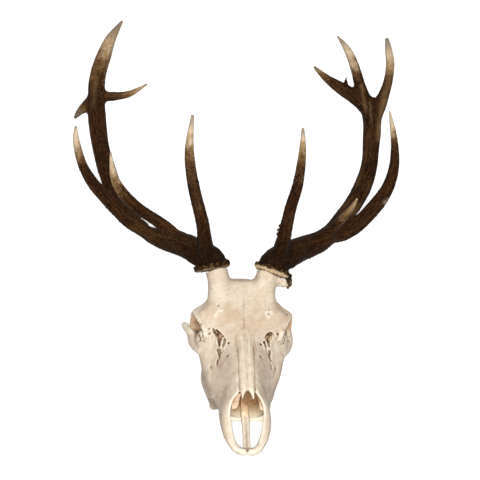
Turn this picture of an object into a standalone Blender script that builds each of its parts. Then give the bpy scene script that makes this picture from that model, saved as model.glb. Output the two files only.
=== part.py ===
"""Upper skull of a red deer stag with both antlers, lying on its back as it would rest.

Lengths are millimetres until the last step. Two frames are used. In the level frame the palate is flat:
x is the deer's left, u runs back from the tip of the snout and h is the height above the tooth row. In the
rest frame the skull is tipped back onto its neck joint and its beams: X is the deer's left, Y runs from
the snout to the antler tips and Z is up from the floor.
"""
import math

import bmesh
import bpy
from mathutils import Vector

MM = 0.001
GAP = 0.3
MERGE = 0.0001
TIP_BACK = math.radians(56.0)
NECK_LIFT = 323.4
CENTRE_X = -18.02
CENTRE_Y = 380.22
FUSE_VOXEL = 2.4
CARVE_VOXEL = 1.8
SKULL_TRIANGLES = 2400
ANTLER_TRIANGLES = 1100
# Sideways lean of the snout tip and of the tooth rows
SNOUT_LEAN = 2.4
ROW_LEAN = 3.2
# Half width of every cut that reaches past the head
BEYOND = 130
# Angle above which an edge of the finished surface stays sharp
SHARP_ANGLE = math.radians(35.0)
SIDES = {"right": -1.0, "left": 1.0}
STEM_REACH = {"right": 1.05, "left": 0.96}
RIM_REACH = {"right": 0.99, "left": 1.01}

# Colours and surface of bone and antler
BONE = (0.83, 0.75, 0.62)
HORN_DARK = (0.085, 0.050, 0.030)
HORN_MID = (0.16, 0.10, 0.06)
HORN_TIP = (0.62, 0.47, 0.30)
BONE_ROUGH = 0.62
HORN_ROUGH = 0.55

# Sections of the face and braincase: u, then half outlines (x, h) from the roof round to the base
HEAD = [
    (80, [(0, 48), (20, 48), (29, 43), (36, 35), (39, 28), (37, 20), (25, 17), (0, 18)]),
    (95, [(0, 72), (12, 72), (21, 65), (31, 53), (39, 37), (40, 25), (30, 15), (0, 18)]),
    (112, [(0, 80), (14, 79), (22, 71), (32, 55), (42, 39), (44, 24), (36, 12), (0, 19)]),
    (132, [(0, 86), (14, 85), (23, 77), (37, 60), (50, 42), (53, 25), (48, 9), (0, 20)]),
    (155, [(0, 91), (14, 90), (25, 82), (42, 66), (60, 46), (60, 27), (54, 8), (0, 22)]),
    (180, [(0, 97), (15, 95), (27, 88), (45, 74), (67, 52), (66, 29), (58, 8), (0, 23)]),
    (205, [(0, 103), (17, 102), (32, 95), (52, 82), (74, 58), (66, 32), (58, 9), (0, 24)]),
    (230, [(0, 112), (22, 111), (42, 106), (63, 94), (80, 66), (66, 36), (56, 13), (0, 25)]),
    (252, [(0, 120), (26, 119), (50, 116), (74, 106), (74, 80), (50, 45), (40, 18), (0, 25)]),
    (268, [(0, 127), (28, 126), (52, 121), (78, 101), (68, 84), (42, 50), (32, 28), (0, 24)]),
    (280, [(0, 132), (28, 131), (50, 124), (66, 106), (54, 84), (42, 54), (30, 26), (0, 20)]),
    (294, [(0, 138), (28, 137), (48, 128), (54, 110), (50, 84), (44, 52), (30, 24), (0, 16)]),
    (306, [(0, 141), (27, 140), (46, 129), (52, 108), (50, 82), (44, 50), (28, 22), (0, 13)]),
    (328, [(0, 129), (25, 127), (42, 116), (50, 96), (51, 74), (46, 46), (28, 19), (0, 11)]),
    (352, [(0, 111), (22, 109), (37, 100), (47, 82), (52, 58), (48, 32), (28, 14), (0, 9)]),
    (374, [(0, 95), (23, 92), (39, 81), (50, 62), (54, 42), (48, 22), (28, 11), (0, 9)]),
    (390, [(0, 82), (19, 79), (34, 68), (46, 52), (49, 38), (38, 22), (22, 12), (0, 10)]),
    (397, [(0, 74), (12, 71), (20, 62), (28, 48), (30, 38), (24, 26), (14, 18), (0, 14)]),
]
# Hollow of the nose: u, then half outlines as above
NOSE = [
    (66, [(0, 120), (22, 118), (26, 80), (28, 56), (27, 44), (25, 32), (16, 25), (0, 23)]),
    (80, [(0, 110), (20, 108), (25, 78), (28, 56), (30, 42), (28, 31), (17, 24), (0, 23)]),
    (93, [(0, 72), (11, 71), (17, 64), (24, 53), (31, 41), (32, 30), (18, 24), (0, 23)]),
    (108, [(0, 75), (10, 74), (17, 66), (25, 54), (33, 41), (33, 30), (18, 24), (0, 24)]),
    (130, [(0, 79), (11, 78), (19, 71), (30, 56), (38, 42), (34, 31), (18, 26), (0, 26)]),
    (160, [(0, 82), (11, 81), (18, 74), (28, 60), (34, 46), (28, 34), (14, 30), (0, 30)]),
    (185, [(0, 76), (9, 75), (14, 70), (20, 60), (22, 50), (18, 42), (9, 39), (0, 39)]),
]

# Burr centre and axis, then axis rows (X, Y, Z, radius) of the beam and the tines
BURR_RADIUS = 30.0
BURR_LOW = -5.0
BURR_HIGH = 6.0
ANTLERS = {
    "right": {
        "burr": ((-56, 310, 150), (-0.22, 0.97, -0.10)),
        "beam": [
            (-50, 296, 152, 20), (-58, 322, 150, 23), (-82, 334, 141, 22), (-102, 344, 128, 21),
            (-139, 353, 100, 18), (-173, 366, 75, 13), (-206, 396, 53, 14.5), (-232, 436, 34, 15.5),
            (-249, 477, 21, 16), (-262, 518, 14.6, 15), (-270, 562, 20, 16), (-274, 607, 36, 16),
            (-272, 645, 55, 14), (-262, 679, 75, 13), (-250, 708, 95, 9), (-231, 737, 113, 2),
        ],
        "brow_tine": [
            (-62, 318, 150, 17), (-69, 340, 168, 14), (-74, 363, 187, 11.5), (-80, 387, 208, 11),
            (-93, 424, 240, 10), (-104, 461, 268, 9), (-111, 504, 295, 7.2), (-109, 556, 316, 2.6),
        ],
        "bez_tine": [
            (-90, 344, 134, 19), (-118, 357, 116, 15), (-150, 383, 121, 10.5), (-187, 405, 138, 10),
            (-216, 430, 157, 9.5), (-233, 459, 174, 6.5), (-240, 499, 190, 1.6),
        ],
        "trez_tine": [
            (-176, 370, 66, 15), (-204, 386, 60, 14.5), (-229, 408, 62, 13), (-252, 430, 75, 11.5),
            (-271, 449, 88, 10), (-290, 479, 104, 8), (-302, 518, 118, 6.2), (-304, 546, 124, 2.2),
        ],
        "crown_inner": [
            (-274, 606, 36, 12), (-258, 610, 42, 10), (-234, 611, 52, 7), (-211, 616, 62, 5.5),
            (-182, 633, 75, 1.5),
        ],
        "crown_back": [(-274, 604, 36, 15), (-290, 593, 27, 11.5), (-303, 582, 20, 7), (-313, 570, 16, 2.5)],
    },
    "left": {
        "burr": ((49, 308, 150), (0.30, 0.95, -0.10)),
        "beam": [
            (42, 294, 152, 20), (54, 322, 149, 24), (78, 335, 136, 23), (103, 347, 118, 21),
            (139, 361, 93, 19), (169, 383, 70, 17), (191, 409, 52, 16), (216, 443, 34, 15.5),
            (233, 478, 22, 16), (242, 512, 15, 15), (244, 545, 15, 15), (244, 583, 19, 17),
            (240, 607, 24, 17), (234, 622, 27, 12),
        ],
        "brow_tine": [
            (56, 320, 150, 17), (61, 342, 166, 14), (64, 364, 184, 11.5), (67, 413, 226, 10),
            (74, 455, 258, 8.5), (75, 506, 289, 6.2), (71, 545, 310, 2.4),
        ],
        "bez_tine": [
            (150, 371, 84, 12), (164, 390, 112, 8.5), (176, 408, 140, 7), (185, 424, 163, 4.8),
            (189.5, 440, 185, 1.6),
        ],
        "trez_tine": [
            (160, 374, 76, 15), (183, 379, 66, 15.5), (207, 392, 63, 14.5), (229, 411, 66, 13.5),
            (249, 438, 80, 13), (263, 467, 95, 11), (269, 500, 108, 9), (267, 535, 118, 7),
            (260, 568, 127, 5), (251, 601, 133, 1.8),
        ],
        "crown_inner": [
            (238, 608, 25, 14), (220, 626, 30, 14), (200, 639, 35, 12.5), (180, 648, 40, 11),
            (151, 663, 50, 7.5), (134, 675, 55, 4.6), (122, 684, 60, 2.2),
        ],
        "crown_middle": [
            (240, 604, 24, 15), (224, 634, 31, 13), (213, 655, 41, 10.5), (204, 678, 50, 9),
            (192, 702, 60, 8), (179, 721, 68, 6), (160, 740, 76, 1.5),
        ],
        "crown_outer": [
            (244, 592, 21, 15), (254, 622, 22, 13.5), (263, 645, 22, 10), (269, 668, 24, 8.5),
            (271, 698, 30, 8), (266, 723, 36, 7), (259, 747, 44, 3.5),
        ],
    },
}
# Crown spike of the left antler, joined to the inner crown tine
SPIKE = [(189, 646, 39, 8), (186, 657, 43, 4.2), (185.5, 672, 46, 1.4)]
# Web of the outer fork of the left crown
WEB = [(226, 618, 27, 11), (240, 627, 25, 11.5), (254, 621, 22, 11)]
# Where each tine parts from its beam: row count along the tine, then how far the cut reaches past it
FORKS = {
    "brow_tine": (1.5, 1.7), "bez_tine": (1.0, 1.6), "bez_tine_right": (2.0, 1.6),
    "trez_tine": (3.0, 1.5), "crown_back": (1.7, 1.5), "crown_inner": (1.35, 1.5),
    "crown_inner_left": (2.4, 1.25), "crown_middle": (2.5, 1.3), "crown_outer": (1.6, 1.4),
}
UPPER_BEAM = 7.6
UPPER_BEAM_REACH = 1.3
# Plates of one side in the level frame: inner edge, outer edge, thickness
BROW_PLATE = [
    ((48, 288, 120), (62, 286, 110), 7), ((50, 280, 117), (72, 277, 104), 8),
    ((50, 272, 115), (85, 271, 99), 8),
    ((50, 262, 113), (83, 262, 99), 7), ((46, 250, 111), (77, 249, 98), 7),
    ((42, 239, 107), (71, 238, 95), 7),
    ((38, 230, 102), (64, 229, 92), 7),
]
ORBIT_BAR = [
    ((58, 270, 108), (82, 272, 101), 9), ((64, 272, 99), (89, 273, 93), 8.5),
    ((68, 274, 86), (90, 274, 83), 7.5),
    ((66, 275, 69), (90.5, 274, 66), 7), ((66, 272, 60), (91, 271, 59), 8),
    ((68, 264, 53), (91, 261, 52), 9),
]
# Snout bones of one side: rim of the nose opening, outer edge, thickness
PREMAXILLA = [
    ((1.5, 19, 15), (2.0, 9.5, 11), 6.5), ((8, 20, 16), (9, 8.5, 10), 7.5),
    ((14, 23, 18), (20, 15.5, 9), 8),
    ((18, 28, 20), (27, 27, 10), 8), ((22.5, 40, 26), (33.5, 40, 12), 7.5),
    ((25.5, 53, 34), (37.5, 52, 15), 7),
    ((28, 67.5, 43), (40.5, 68, 18), 6.5), ((27, 77.5, 54), (41.5, 80, 20), 6),
    ((22.5, 85, 64), (41.5, 93, 25), 6),
    ((15, 91, 72), (39, 106, 36), 6), ((12, 108, 77), (35, 124, 48), 6),
]
NASAL = [
    ((0.2, 224, 107), (9, 221, 105), 4), ((0.2, 205, 101), (12.5, 203, 98), 5),
    ((0.2, 172, 92.8), (12.4, 170, 90), 5),
    ((0.2, 140, 85.8), (12.4, 138, 82.6), 5), ((0.2, 110, 79.6), (12.2, 110, 76.3), 4.8),
    ((0.3, 97, 76.2), (12.2, 97, 72.6), 4.5), ((2.0, 92, 74.6), (12.0, 91, 71.4), 4.2),
    ((5.2, 86, 72.4), (11.0, 86, 70.4), 3.8), ((7.8, 77.5, 69.6), (10, 78, 69), 2.6),
]
BLADE_ACROSS = (0.0, 0.2, 0.5, 0.8, 1.0)
ORBIT_FLOOR = [
    ((56, 218, 66), (73, 218, 58), 9), ((60, 230, 63), (80, 230, 55), 8), ((64, 240, 58), (85, 241, 52), 7),
    ((70, 249, 54), (88, 251, 51), 6),
]
# Bony lump under the left burr and the knob of the burr beside it: rows of (X, Y, Z, radius)
LUMP = [(54, 299, 147, 9), (64, 293, 145, 10.5), (70, 287, 144, 9.5), (73, 281, 142, 7.5)]
KNOB = [(72, 300, 150, 6), (79, 296, 149, 6), (80.5, 290, 147, 6), (80, 284, 144.5, 5), (78, 279, 142, 3)]

# Cheek arch: rows of (x, u, h, radius) of the left side, as below; the right arch is broken off
ARCH = [(69, 208, 60, 9), (78, 226, 54, 9), (85, 244, 52, 8.5), (87, 258, 55, 8)]
ARCH_BACK = {
    "left": [(84, 282, 62, 6.5), (76, 300, 64, 6.5), (66, 318, 64, 7), (54, 334, 62, 9)],
    "right": [(93, 262, 62, 7), (98, 262, 70, 6.5), (100.5, 262, 76, 5.5)],
}
ARCH_ROOT = [(50, 336, 62, 9), (60, 322, 64, 7), (70, 310, 65, 5), (75, 303, 65, 2.5)]
BROW_RIM = [
    (63, 220, 80, 6), (65, 225, 88, 6), (69, 232, 93, 5), (76, 246, 97, 4.5), (82, 260, 98, 4.5),
    (85, 270, 96, 5),
]
TEAR_LUMP = [(66, 226, 82, 4), (70, 230, 79, 5.5), (74, 233, 74, 4.5), (76, 235, 69, 3)]
PEDICLE_STEM = [
    (34, 282, 104, 26), (37, 294, 122, 23), (41, 306, 141, 20), (46, 316, 155, 20.5),
    (52, 330, 174, 21),
]
PAROCCIPITAL = [(44, 366, 26, 12), (50, 374, 10, 8), (51, 379, -4, 4.5)]
PTERYGOID = [(20, 236, 22, 4), (22, 252, 14, 3.5), (23, 268, 6, 3)]
PALATE_ROD = [
    (3.4, 9, 13, 3.0), (3.4, 30, 14.5, 2.9), (3.4, 55, 18, 3.1), (3.2, 75, 22, 3.8),
    (2.4, 96, 29, 4.4),
]
VOMER = [(0, 84, 24, 3.0), (0, 110, 32, 4.0), (0, 150, 44, 4.5), (0, 190, 60, 5.0)]
LACRIMAL_GAP = [
    (50, 220, 94, 2.5), (43, 210, 92, 7), (36, 196, 88, 8), (33, 184, 84, 5), (40, 172, 74, 3.2),
    (47, 161, 61, 2.2),
]
# Cheek teeth from the front: u of the middle and half length
TEETH = [(130, 6.0), (143, 6.5), (157, 7.0), (174, 9.5), (196, 10.5), (219, 10.5)]
# Where the head parts into its bones: outlines (u, h) of the level frame
OCCIPITAL_CUT = [(358, -40), (358, 12), (362, 24), (384, 62), (384, 120), (440, 120), (440, -40)]
NASAL_CUT = [(50, 50), (112, 72), (160, 82), (214, 99), (214, 135), (50, 135)]
PREMAXILLA_CUT = [(-30, -20), (74, -20), (76, 24), (90, 44), (117, 80), (117, 110), (-30, 110)]
FRONTAL_CUT = [
    (216, 92), (216, 150), (250, 170), (346, 170), (346, 106), (318, 98), (262, 98), (240, 92),
]
LACRIMAL_CUT = [(188, 62), (240, 62), (240, 93), (188, 112)]
ZYGOMATIC_CUT = [(198, 28), (300, 28), (300, 99), (198, 99)]
MAXILLA_CUT = [(70, -30), (254, -30), (254, 115), (70, 115)]
# Bar behind the right eye, which stays with the frontal bone
FREE_BAR_CUT = [(268.5, 50), (292, 50), (292, 110), (268.5, 110)]
FREE_BAR_NEAR = 64
# Pedicle: foot and direction point of its cut in the level frame, length and radius
PEDICLE_FOOT = (44, 291, 124)
PEDICLE_AIM = (49, 316, 156)
PEDICLE_LENGTH = 80.0
PEDICLE_RADIUS = 34.0
# Burr: distance along its axis and share of its radius, and points round it
BURR_PROFILE = [(BURR_LOW, 0.74), (-3.0, 0.95), (1.0, 1.0), (4.0, 0.93), (BURR_HIGH, 0.78)]
BURR_SIDES = 28
# Round cut that clears one side of a burr
CLEAR_LENGTH = 90.0
CLEAR_RADIUS = 60.0


def level(x, u, h):
    """A point of the level frame in the rest frame."""
    y = u * math.cos(TIP_BACK) + h * math.sin(TIP_BACK)
    z = h * math.cos(TIP_BACK) - u * math.sin(TIP_BACK) + NECK_LIFT
    return Vector((x, y, z))


def step_ramp(value, low, high):
    t = min(max((value - low) / (high - low), 0.0), 1.0)
    return t * t * (3 - 2 * t)


def lean(u, h):
    """Sideways lean of the skull: the snout tip to the left, the tooth rows to the right."""
    tip = SNOUT_LEAN * (1 - step_ramp(u, 70.0, 112.0))
    row = step_ramp(u, 96.0, 125.0) * (1 - step_ramp(u, 190.0, 225.0)) * (1 - step_ramp(h, 14.0, 44.0))
    return tip - ROW_LEAN * row


def lean_over(node):
    for vert in node.data.vertices:
        y = vert.co.y
        z = vert.co.z - NECK_LIFT
        u = y * math.cos(TIP_BACK) - z * math.sin(TIP_BACK)
        h = y * math.sin(TIP_BACK) + z * math.cos(TIP_BACK)
        vert.co.x += lean(u, h)


def clear_scene():
    for obj in list(bpy.data.objects):
        bpy.data.objects.remove(obj)


def curve_point(rows, t):
    """Catmull-Rom point through rows of numbers, t counted in rows."""
    last = len(rows) - 1
    i = min(int(t), last - 1)
    f = t - i
    a, b, c, d = (rows[min(max(k, 0), last)] for k in (i - 1, i, i + 1, i + 2))
    out = []
    for p0, p1, p2, p3 in zip(a, b, c, d):
        slope = (p2 - p0) * f
        bow = (2 * p0 - 5 * p1 + 4 * p2 - p3) * f * f
        twist = (3 * p1 - p0 - 3 * p2 + p3) * f * f * f
        out.append(p1 + 0.5 * (slope + bow + twist))
    return out


def resample(rows, steps):
    count = (len(rows) - 1) * steps
    return [curve_point(rows, k / steps) for k in range(count + 1)]


def new_object(name, bm):
    bmesh.ops.recalc_face_normals(bm, faces=bm.faces)
    if bm.calc_volume(signed=True) < 0.0:
        bmesh.ops.reverse_faces(bm, faces=bm.faces)
    mesh = bpy.data.meshes.new(name)
    bm.to_mesh(mesh)
    bm.free()
    obj = bpy.data.objects.new(name, mesh)
    bpy.context.scene.collection.objects.link(obj)
    return obj


def skin_rings(name, rings):
    """Closed body through rings of points, with a flat cap at each end."""
    bm = bmesh.new()
    loops = [[bm.verts.new(p) for p in ring] for ring in rings]
    count = len(loops[0])
    for low, high in zip(loops, loops[1:]):
        for k in range(count):
            m = (k + 1) % count
            bm.faces.new((low[k], low[m], high[m], high[k]))
    bm.faces.new(loops[0])
    bm.faces.new(loops[-1])
    return new_object(name, bm)


def loft(name, sections, steps=3, fine=2):
    """Two-sided body through half outlines of the level frame."""
    rows = []
    for u, half in sections:
        row = [u]
        for x, h in half:
            row += [x, h]
        rows.append(row)
    rings = []
    for row in resample(rows, steps):
        half = [(row[k], row[k + 1]) for k in range(1, len(row), 2)]
        loop = resample(half, fine)
        other = [(-x, h) for x, h in reversed(loop[1:-1])]
        rings.append([level(x, row[0], h) for x, h in loop + other])
    return skin_rings(name, rings)


def tube(name, path, sides=12, steps=3, flat=1.0, up=(0.0, 0.0, 1.0), to_rest=False):
    """Round or flattened tapering body along rows of (x, y, z, radius)."""
    rows = resample(path, steps)
    spots = [level(*row[:3]) if to_rest else Vector(row[:3]) for row in rows]
    radii = [max(row[3], 0.4) for row in rows]
    along = (spots[1] - spots[0]).normalized()
    side = along.cross(Vector(up))
    if side.length < 0.1:
        side = along.cross(Vector((1.0, 0.0, 0.0)))
    side.normalize()
    rings = []
    for k, spot in enumerate(spots):
        ahead = spots[min(k + 1, len(spots) - 1)]
        behind = spots[max(k - 1, 0)]
        along = (ahead - behind).normalized()
        side = (side - along * side.dot(along)).normalized()
        lift = side.cross(along)
        ring = []
        for m in range(sides):
            turn = 2 * math.pi * m / sides
            ring.append(spot + side * (radii[k] * math.cos(turn)) + lift * (radii[k] * flat * math.sin(turn)))
        rings.append(ring)
    return skin_rings(name, rings)


def blade(name, rows, sign, steps=3, bulge=0.0):
    """Plate of the level frame through rows of inner edge, outer edge and thickness."""
    flat_rows = [(*inner, *outer, thick) for inner, outer, thick in rows]
    spots = []
    for row in resample(flat_rows, steps):
        inner = level(sign * row[0], row[1], row[2])
        outer = level(sign * row[3], row[4], row[5])
        spots.append((inner, outer, row[6] / 2))
    rings = []
    for k, (inner, outer, half) in enumerate(spots):
        ahead = spots[min(k + 1, len(spots) - 1)]
        behind = spots[max(k - 1, 0)]
        run = (ahead[0] + ahead[1]) - (behind[0] + behind[1])
        lift = run.cross(outer - inner).normalized()
        if lift.z < 0.0:
            lift = -lift
        top, bottom = [], []
        for share in BLADE_ACROSS:
            spot = inner.lerp(outer, share)
            rise = 1 - (2 * share - 1) ** 2
            depth = half * (0.6 + 0.4 * rise)
            top.append(spot + lift * (depth + bulge * rise))
            bottom.append(spot - lift * depth)
        rings.append(top + bottom[::-1])
    return skin_rings(name, rings)


def egg(name, centre, radii, divisions=3):
    """Ellipsoid of the level frame; radii run along x, u and h."""
    bm = bmesh.new()
    bmesh.ops.create_icosphere(bm, subdivisions=divisions, radius=1.0)
    for v in bm.verts:
        spot = [c + r * q for c, r, q in zip(centre, radii, v.co)]
        v.co = level(*spot)
    return new_object(name, bm)


def prism(name, outline, x_low, x_high):
    """Block with a (u, h) outline of the level frame, between two x values."""
    bm = bmesh.new()
    low = [bm.verts.new(level(x_low, u, h)) for u, h in outline]
    high = [bm.verts.new(level(x_high, u, h)) for u, h in outline]
    count = len(outline)
    bm.faces.new(low)
    bm.faces.new(high)
    for k in range(count):
        m = (k + 1) % count
        bm.faces.new((low[k], low[m], high[m], high[k]))
    return new_object(name, bm)


def block(name, low, high):
    """Upright box of the rest frame."""
    size = Vector(high) - Vector(low)
    bm = bmesh.new()
    bmesh.ops.create_cube(bm, size=1.0)
    middle = (Vector(high) + Vector(low)) / 2
    for v in bm.verts:
        v.co = Vector((v.co.x * size.x, v.co.y * size.y, v.co.z * size.z)) + middle
    return new_object(name, bm)


def disc(name, centre, axis, radius, thickness):
    """Round plate across an axis of the rest frame."""
    bm = bmesh.new()
    bmesh.ops.create_cone(bm, cap_ends=True, segments=24, radius1=radius, radius2=radius, depth=thickness)
    turn = Vector((0.0, 0.0, 1.0)).rotation_difference(Vector(axis).normalized()).to_matrix()
    for v in bm.verts:
        v.co = turn @ v.co + Vector(centre)
    return new_object(name, bm)


def applied(obj):
    """Bakes the modifiers of an object into its mesh."""
    graph = bpy.context.evaluated_depsgraph_get()
    mesh = bpy.data.meshes.new_from_object(obj.evaluated_get(graph))
    obj.modifiers.clear()
    obj.data = mesh
    return obj


def joined(name, objects):
    bm = bmesh.new()
    for obj in objects:
        bm.from_mesh(obj.data)
        bpy.data.objects.remove(obj)
    mesh = bpy.data.meshes.new(name)
    bm.to_mesh(mesh)
    bm.free()
    result = bpy.data.objects.new(name, mesh)
    bpy.context.scene.collection.objects.link(result)
    return result


def fused(obj, voxel, rounds):
    remesh = obj.modifiers.new("fuse", "REMESH")
    remesh.mode = "VOXEL"
    remesh.voxel_size = voxel
    if rounds:
        smooth = obj.modifiers.new("ease", "SMOOTH")
        smooth.iterations = rounds
        smooth.factor = 0.5
    return applied(obj)


def tidied(obj):
    """Triangles only, with no slivers or stray corners."""
    bm = bmesh.new()
    bm.from_mesh(obj.data)
    bmesh.ops.remove_doubles(bm, verts=bm.verts, dist=MERGE)
    bmesh.ops.dissolve_degenerate(bm, edges=bm.edges, dist=MERGE)
    bmesh.ops.triangulate(bm, faces=bm.faces)
    bm.to_mesh(obj.data)
    bm.free()
    return obj


def combine(obj, others, operation, folds=False):
    for other in others:
        step = obj.modifiers.new("cut", "BOOLEAN")
        step.operation = operation
        step.solver = "EXACT"
        step.use_self = folds
        step.object = other
        tidied(applied(obj))
    return obj


def drop(objects):
    for obj in objects:
        bpy.data.objects.remove(obj)


def copy_of(obj, name):
    twin = bpy.data.objects.new(name, obj.data.copy())
    bpy.context.scene.collection.objects.link(twin)
    return twin


def thinned(obj, triangles):
    count = sum(len(p.vertices) - 2 for p in obj.data.polygons)
    step = obj.modifiers.new("thin", "DECIMATE")
    step.ratio = min(1.0, triangles / count)
    step.use_collapse_triangulate = True
    return applied(obj)


def mirrored(rows, reach):
    """Rows of the left side, with x scaled by the reach; a negative reach gives the right side."""
    return [(reach * x, u, h, r) for x, u, h, r in rows]


def side_parts(side, sign):
    """Bars, arches and bosses on one side of the head."""
    rim_reach = RIM_REACH[side] * sign
    stem_reach = STEM_REACH[side] * sign
    parts = [
        blade("premaxilla", PREMAXILLA, sign, bulge=2.6),
        blade("nasal", NASAL, sign, bulge=1.5),
        tube("arch", mirrored(ARCH + ARCH_BACK[side], sign), flat=0.7, to_rest=True),
        blade("brow_plate", BROW_PLATE, rim_reach),
        blade("orbit_bar", ORBIT_BAR, rim_reach),
        blade("orbit_floor", ORBIT_FLOOR, rim_reach),
        tube("brow_rim", mirrored(BROW_RIM, rim_reach), to_rest=True),
        tube("tear_lump", mirrored(TEAR_LUMP, rim_reach), 10, to_rest=True),
        egg("jugal_web", (sign * 77, 254, 52), (12, 16, 8)),
        tube("pedicle_stem", mirrored(PEDICLE_STEM, stem_reach), 16, to_rest=True),
        egg("condyle", (sign * 19, 396, 31), (14, 12, 16)),
        egg("bulla", (sign * 28, 350, 12), (11, 20, 11)),
        tube("paroccipital", mirrored(PAROCCIPITAL, sign), 10, flat=0.6, to_rest=True),
        tube("pterygoid", mirrored(PTERYGOID, sign), 10, 2, to_rest=True),
        tube("palate_rod", mirrored(PALATE_ROD, sign), 10, to_rest=True),
    ]
    if side == "left":
        parts.append(tube("lump", LUMP, 10, 2))
    else:
        parts.append(tube("arch_root", mirrored(ARCH_ROOT, sign), flat=0.7, to_rest=True))
    return parts


def teeth(sign):
    """Cheek teeth of one side: three small, then three long with two humps each."""
    parts = []
    for u, half in TEETH:
        x = 43 + 7 * math.sin((u - 120) / 130 * math.pi / 1.6)
        for hump in (-0.5, 0.5):
            parts.append(egg("tooth", (sign * x, u + hump * half, 10), (8.5, half * 0.62, 12), 2))
    return parts


def head_cutters():
    """Openings of the head: nose, orbits, palate slits and small holes."""
    cuts = [loft("nose", NOSE)]
    for sign in SIDES.values():
        cuts.append(egg("orbit", (sign * 84, 251, 82), (41, 22, 20)))
        cuts.append(egg("orbit_depth", (sign * 62, 262, 78), (24, 20, 18)))
        cuts.append(egg("temple", (sign * 68, 304, 84), (17, 22, 40)))
        cuts.append(tube("lacrimal_gap", mirrored(LACRIMAL_GAP, sign), 10, to_rest=True))
        cuts.append(egg("lacrimal_pit", (sign * 68, 205, 80), (13, 14, 10)))
        cuts.append(egg("brow_hole", (sign * 45, 255, 121), (3.2, 6, 8)))
        cuts.append(egg("face_hole", (sign * 45, 138, 52), (6, 5, 4)))
        cuts.append(egg("cheek", (sign * 62, 150, 62), (14, 30, 12)))
        cuts.append(egg("throat", (sign * 10, 268, 22), (11, 32, 14)))
        cuts.append(egg("nape", (sign * 30, 408, 62), (16, 12, 14)))
    cuts.append(egg("palate", (0, 175, 4), (38, 75, 17)))
    cuts.append(egg("spine_hole", (0, 404, 36), (10, 24, 12)))
    return cuts


def head_body():
    head = fused(loft("head", HEAD), FUSE_VOXEL, 0)
    cuts = head_cutters()
    combine(head, cuts, "DIFFERENCE")
    drop(cuts)
    parts = [head]
    for side, sign in SIDES.items():
        parts += side_parts(side, sign)
        parts += teeth(sign)
    parts.append(tube("vomer", VOMER, 10, to_rest=True))
    whole = fused(joined("head", parts), CARVE_VOXEL, 2)
    return keep_largest(tidied(thinned(keep_largest(whole), SKULL_TRIANGLES)))


def burr_ring(name, centre, axis):
    """Knobbly round plate that an antler stands on."""
    axis = Vector(axis).normalized()
    side = axis.cross(Vector((0.0, 0.0, 1.0))).normalized()
    lift = side.cross(axis)
    rings = []
    for along, share in BURR_PROFILE:
        ring = []
        for k in range(BURR_SIDES):
            turn = 2 * math.pi * k / BURR_SIDES
            knob = 1.0 + 0.045 * math.sin(9 * turn) + 0.03 * math.sin(5 * turn + 1.0)
            reach = BURR_RADIUS * share * knob
            spot = Vector(centre) + axis * along
            ring.append(spot + side * (reach * math.cos(turn)) + lift * (reach * 0.9 * math.sin(turn)))
        rings.append(ring)
    return skin_rings(name, rings)


def knob(name, extra):
    """Knob that hangs from the left burr, thicker and longer by an extra distance."""
    rows = [(x, y, z, radius + extra) for x, y, z, radius in KNOB]
    if extra:
        end = Vector(KNOB[-1][:3])
        way = (end - Vector(KNOB[-2][:3])).normalized()
        rows.append((*(end + way * extra), KNOB[-1][3] + extra))
    return tube(name, rows, 8, 2)


def rod_along(name, centre, axis, start, end, radius):
    """Round bar between two distances along an axis."""
    axis = Vector(axis).normalized()
    middle = Vector(centre) + axis * ((start + end) / 2)
    return disc(name, middle, axis, radius, end - start)


def grown(outline, gap):
    """Outline with every edge moved out by the gap."""
    count = len(outline)
    area = sum(a[0] * b[1] - b[0] * a[1] for a, b in zip(outline, outline[1:] + outline[:1]))
    turn = 1.0 if area > 0 else -1.0
    edges = []
    for k in range(count):
        a = Vector(outline[k])
        b = Vector(outline[(k + 1) % count])
        run = (b - a).normalized()
        out = Vector((run.y, -run.x)) * turn
        edges.append((a + out * gap, run))
    result = []
    for k in range(count):
        (p, r), (q, s) = edges[k - 1], edges[k]
        cross = r.x * s.y - r.y * s.x
        if abs(cross) < 1e-6:
            result.append(tuple(q))
            continue
        t = ((q.x - p.x) * s.y - (q.y - p.y) * s.x) / cross
        result.append(tuple(p + r * t))
    return result


def loose_parts(obj):
    """Splits an object into its separate closed bodies, largest first."""
    bm = bmesh.new()
    bm.from_mesh(obj.data)
    left = set(bm.verts)
    groups = []
    while left:
        todo = [left.pop()]
        group = set(todo)
        while todo:
            for edge in todo.pop().link_edges:
                for vert in edge.verts:
                    if vert in left:
                        left.remove(vert)
                        group.add(vert)
                        todo.append(vert)
        groups.append(group)
    bodies = []
    for group in groups:
        index = {v: k for k, v in enumerate(group)}
        faces = {f for v in group for f in v.link_faces}
        mesh = bpy.data.meshes.new(obj.name)
        mesh.from_pydata([v.co for v in index], [], [[index[v] for v in f.verts] for f in faces])
        size = abs(volume_of(mesh))
        bodies.append((size, mesh))
    bm.free()
    bodies.sort(key=lambda item: -item[0])
    return bodies


def volume_of(mesh):
    bm = bmesh.new()
    bm.from_mesh(mesh)
    size = bm.calc_volume(signed=True)
    bm.free()
    return size


def keep_largest(obj):
    bodies = loose_parts(obj)
    obj.data = bodies[0][1]
    return obj


def take(rest, name, region, grown_region):
    """Moves the part of a body inside a region into a node of its own, a gap apart."""
    node = copy_of(rest, name)
    combine(node, [region], "INTERSECT", True)
    combine(rest, [grown_region], "DIFFERENCE", True)
    drop([region, grown_region])
    return keep_largest(node)


def take_prism(rest, name, outline, x_low, x_high):
    wide = grown(outline, GAP)
    region = prism("region", outline, x_low, x_high)
    wide_region = prism("wide_region", wide, x_low - GAP, x_high + GAP)
    return take(rest, name, region, wide_region)


def side_span(sign, near, far):
    """Low and high x of a band on one side of the midline."""
    return (near, far) if sign > 0 else (-far, -near)


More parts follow.
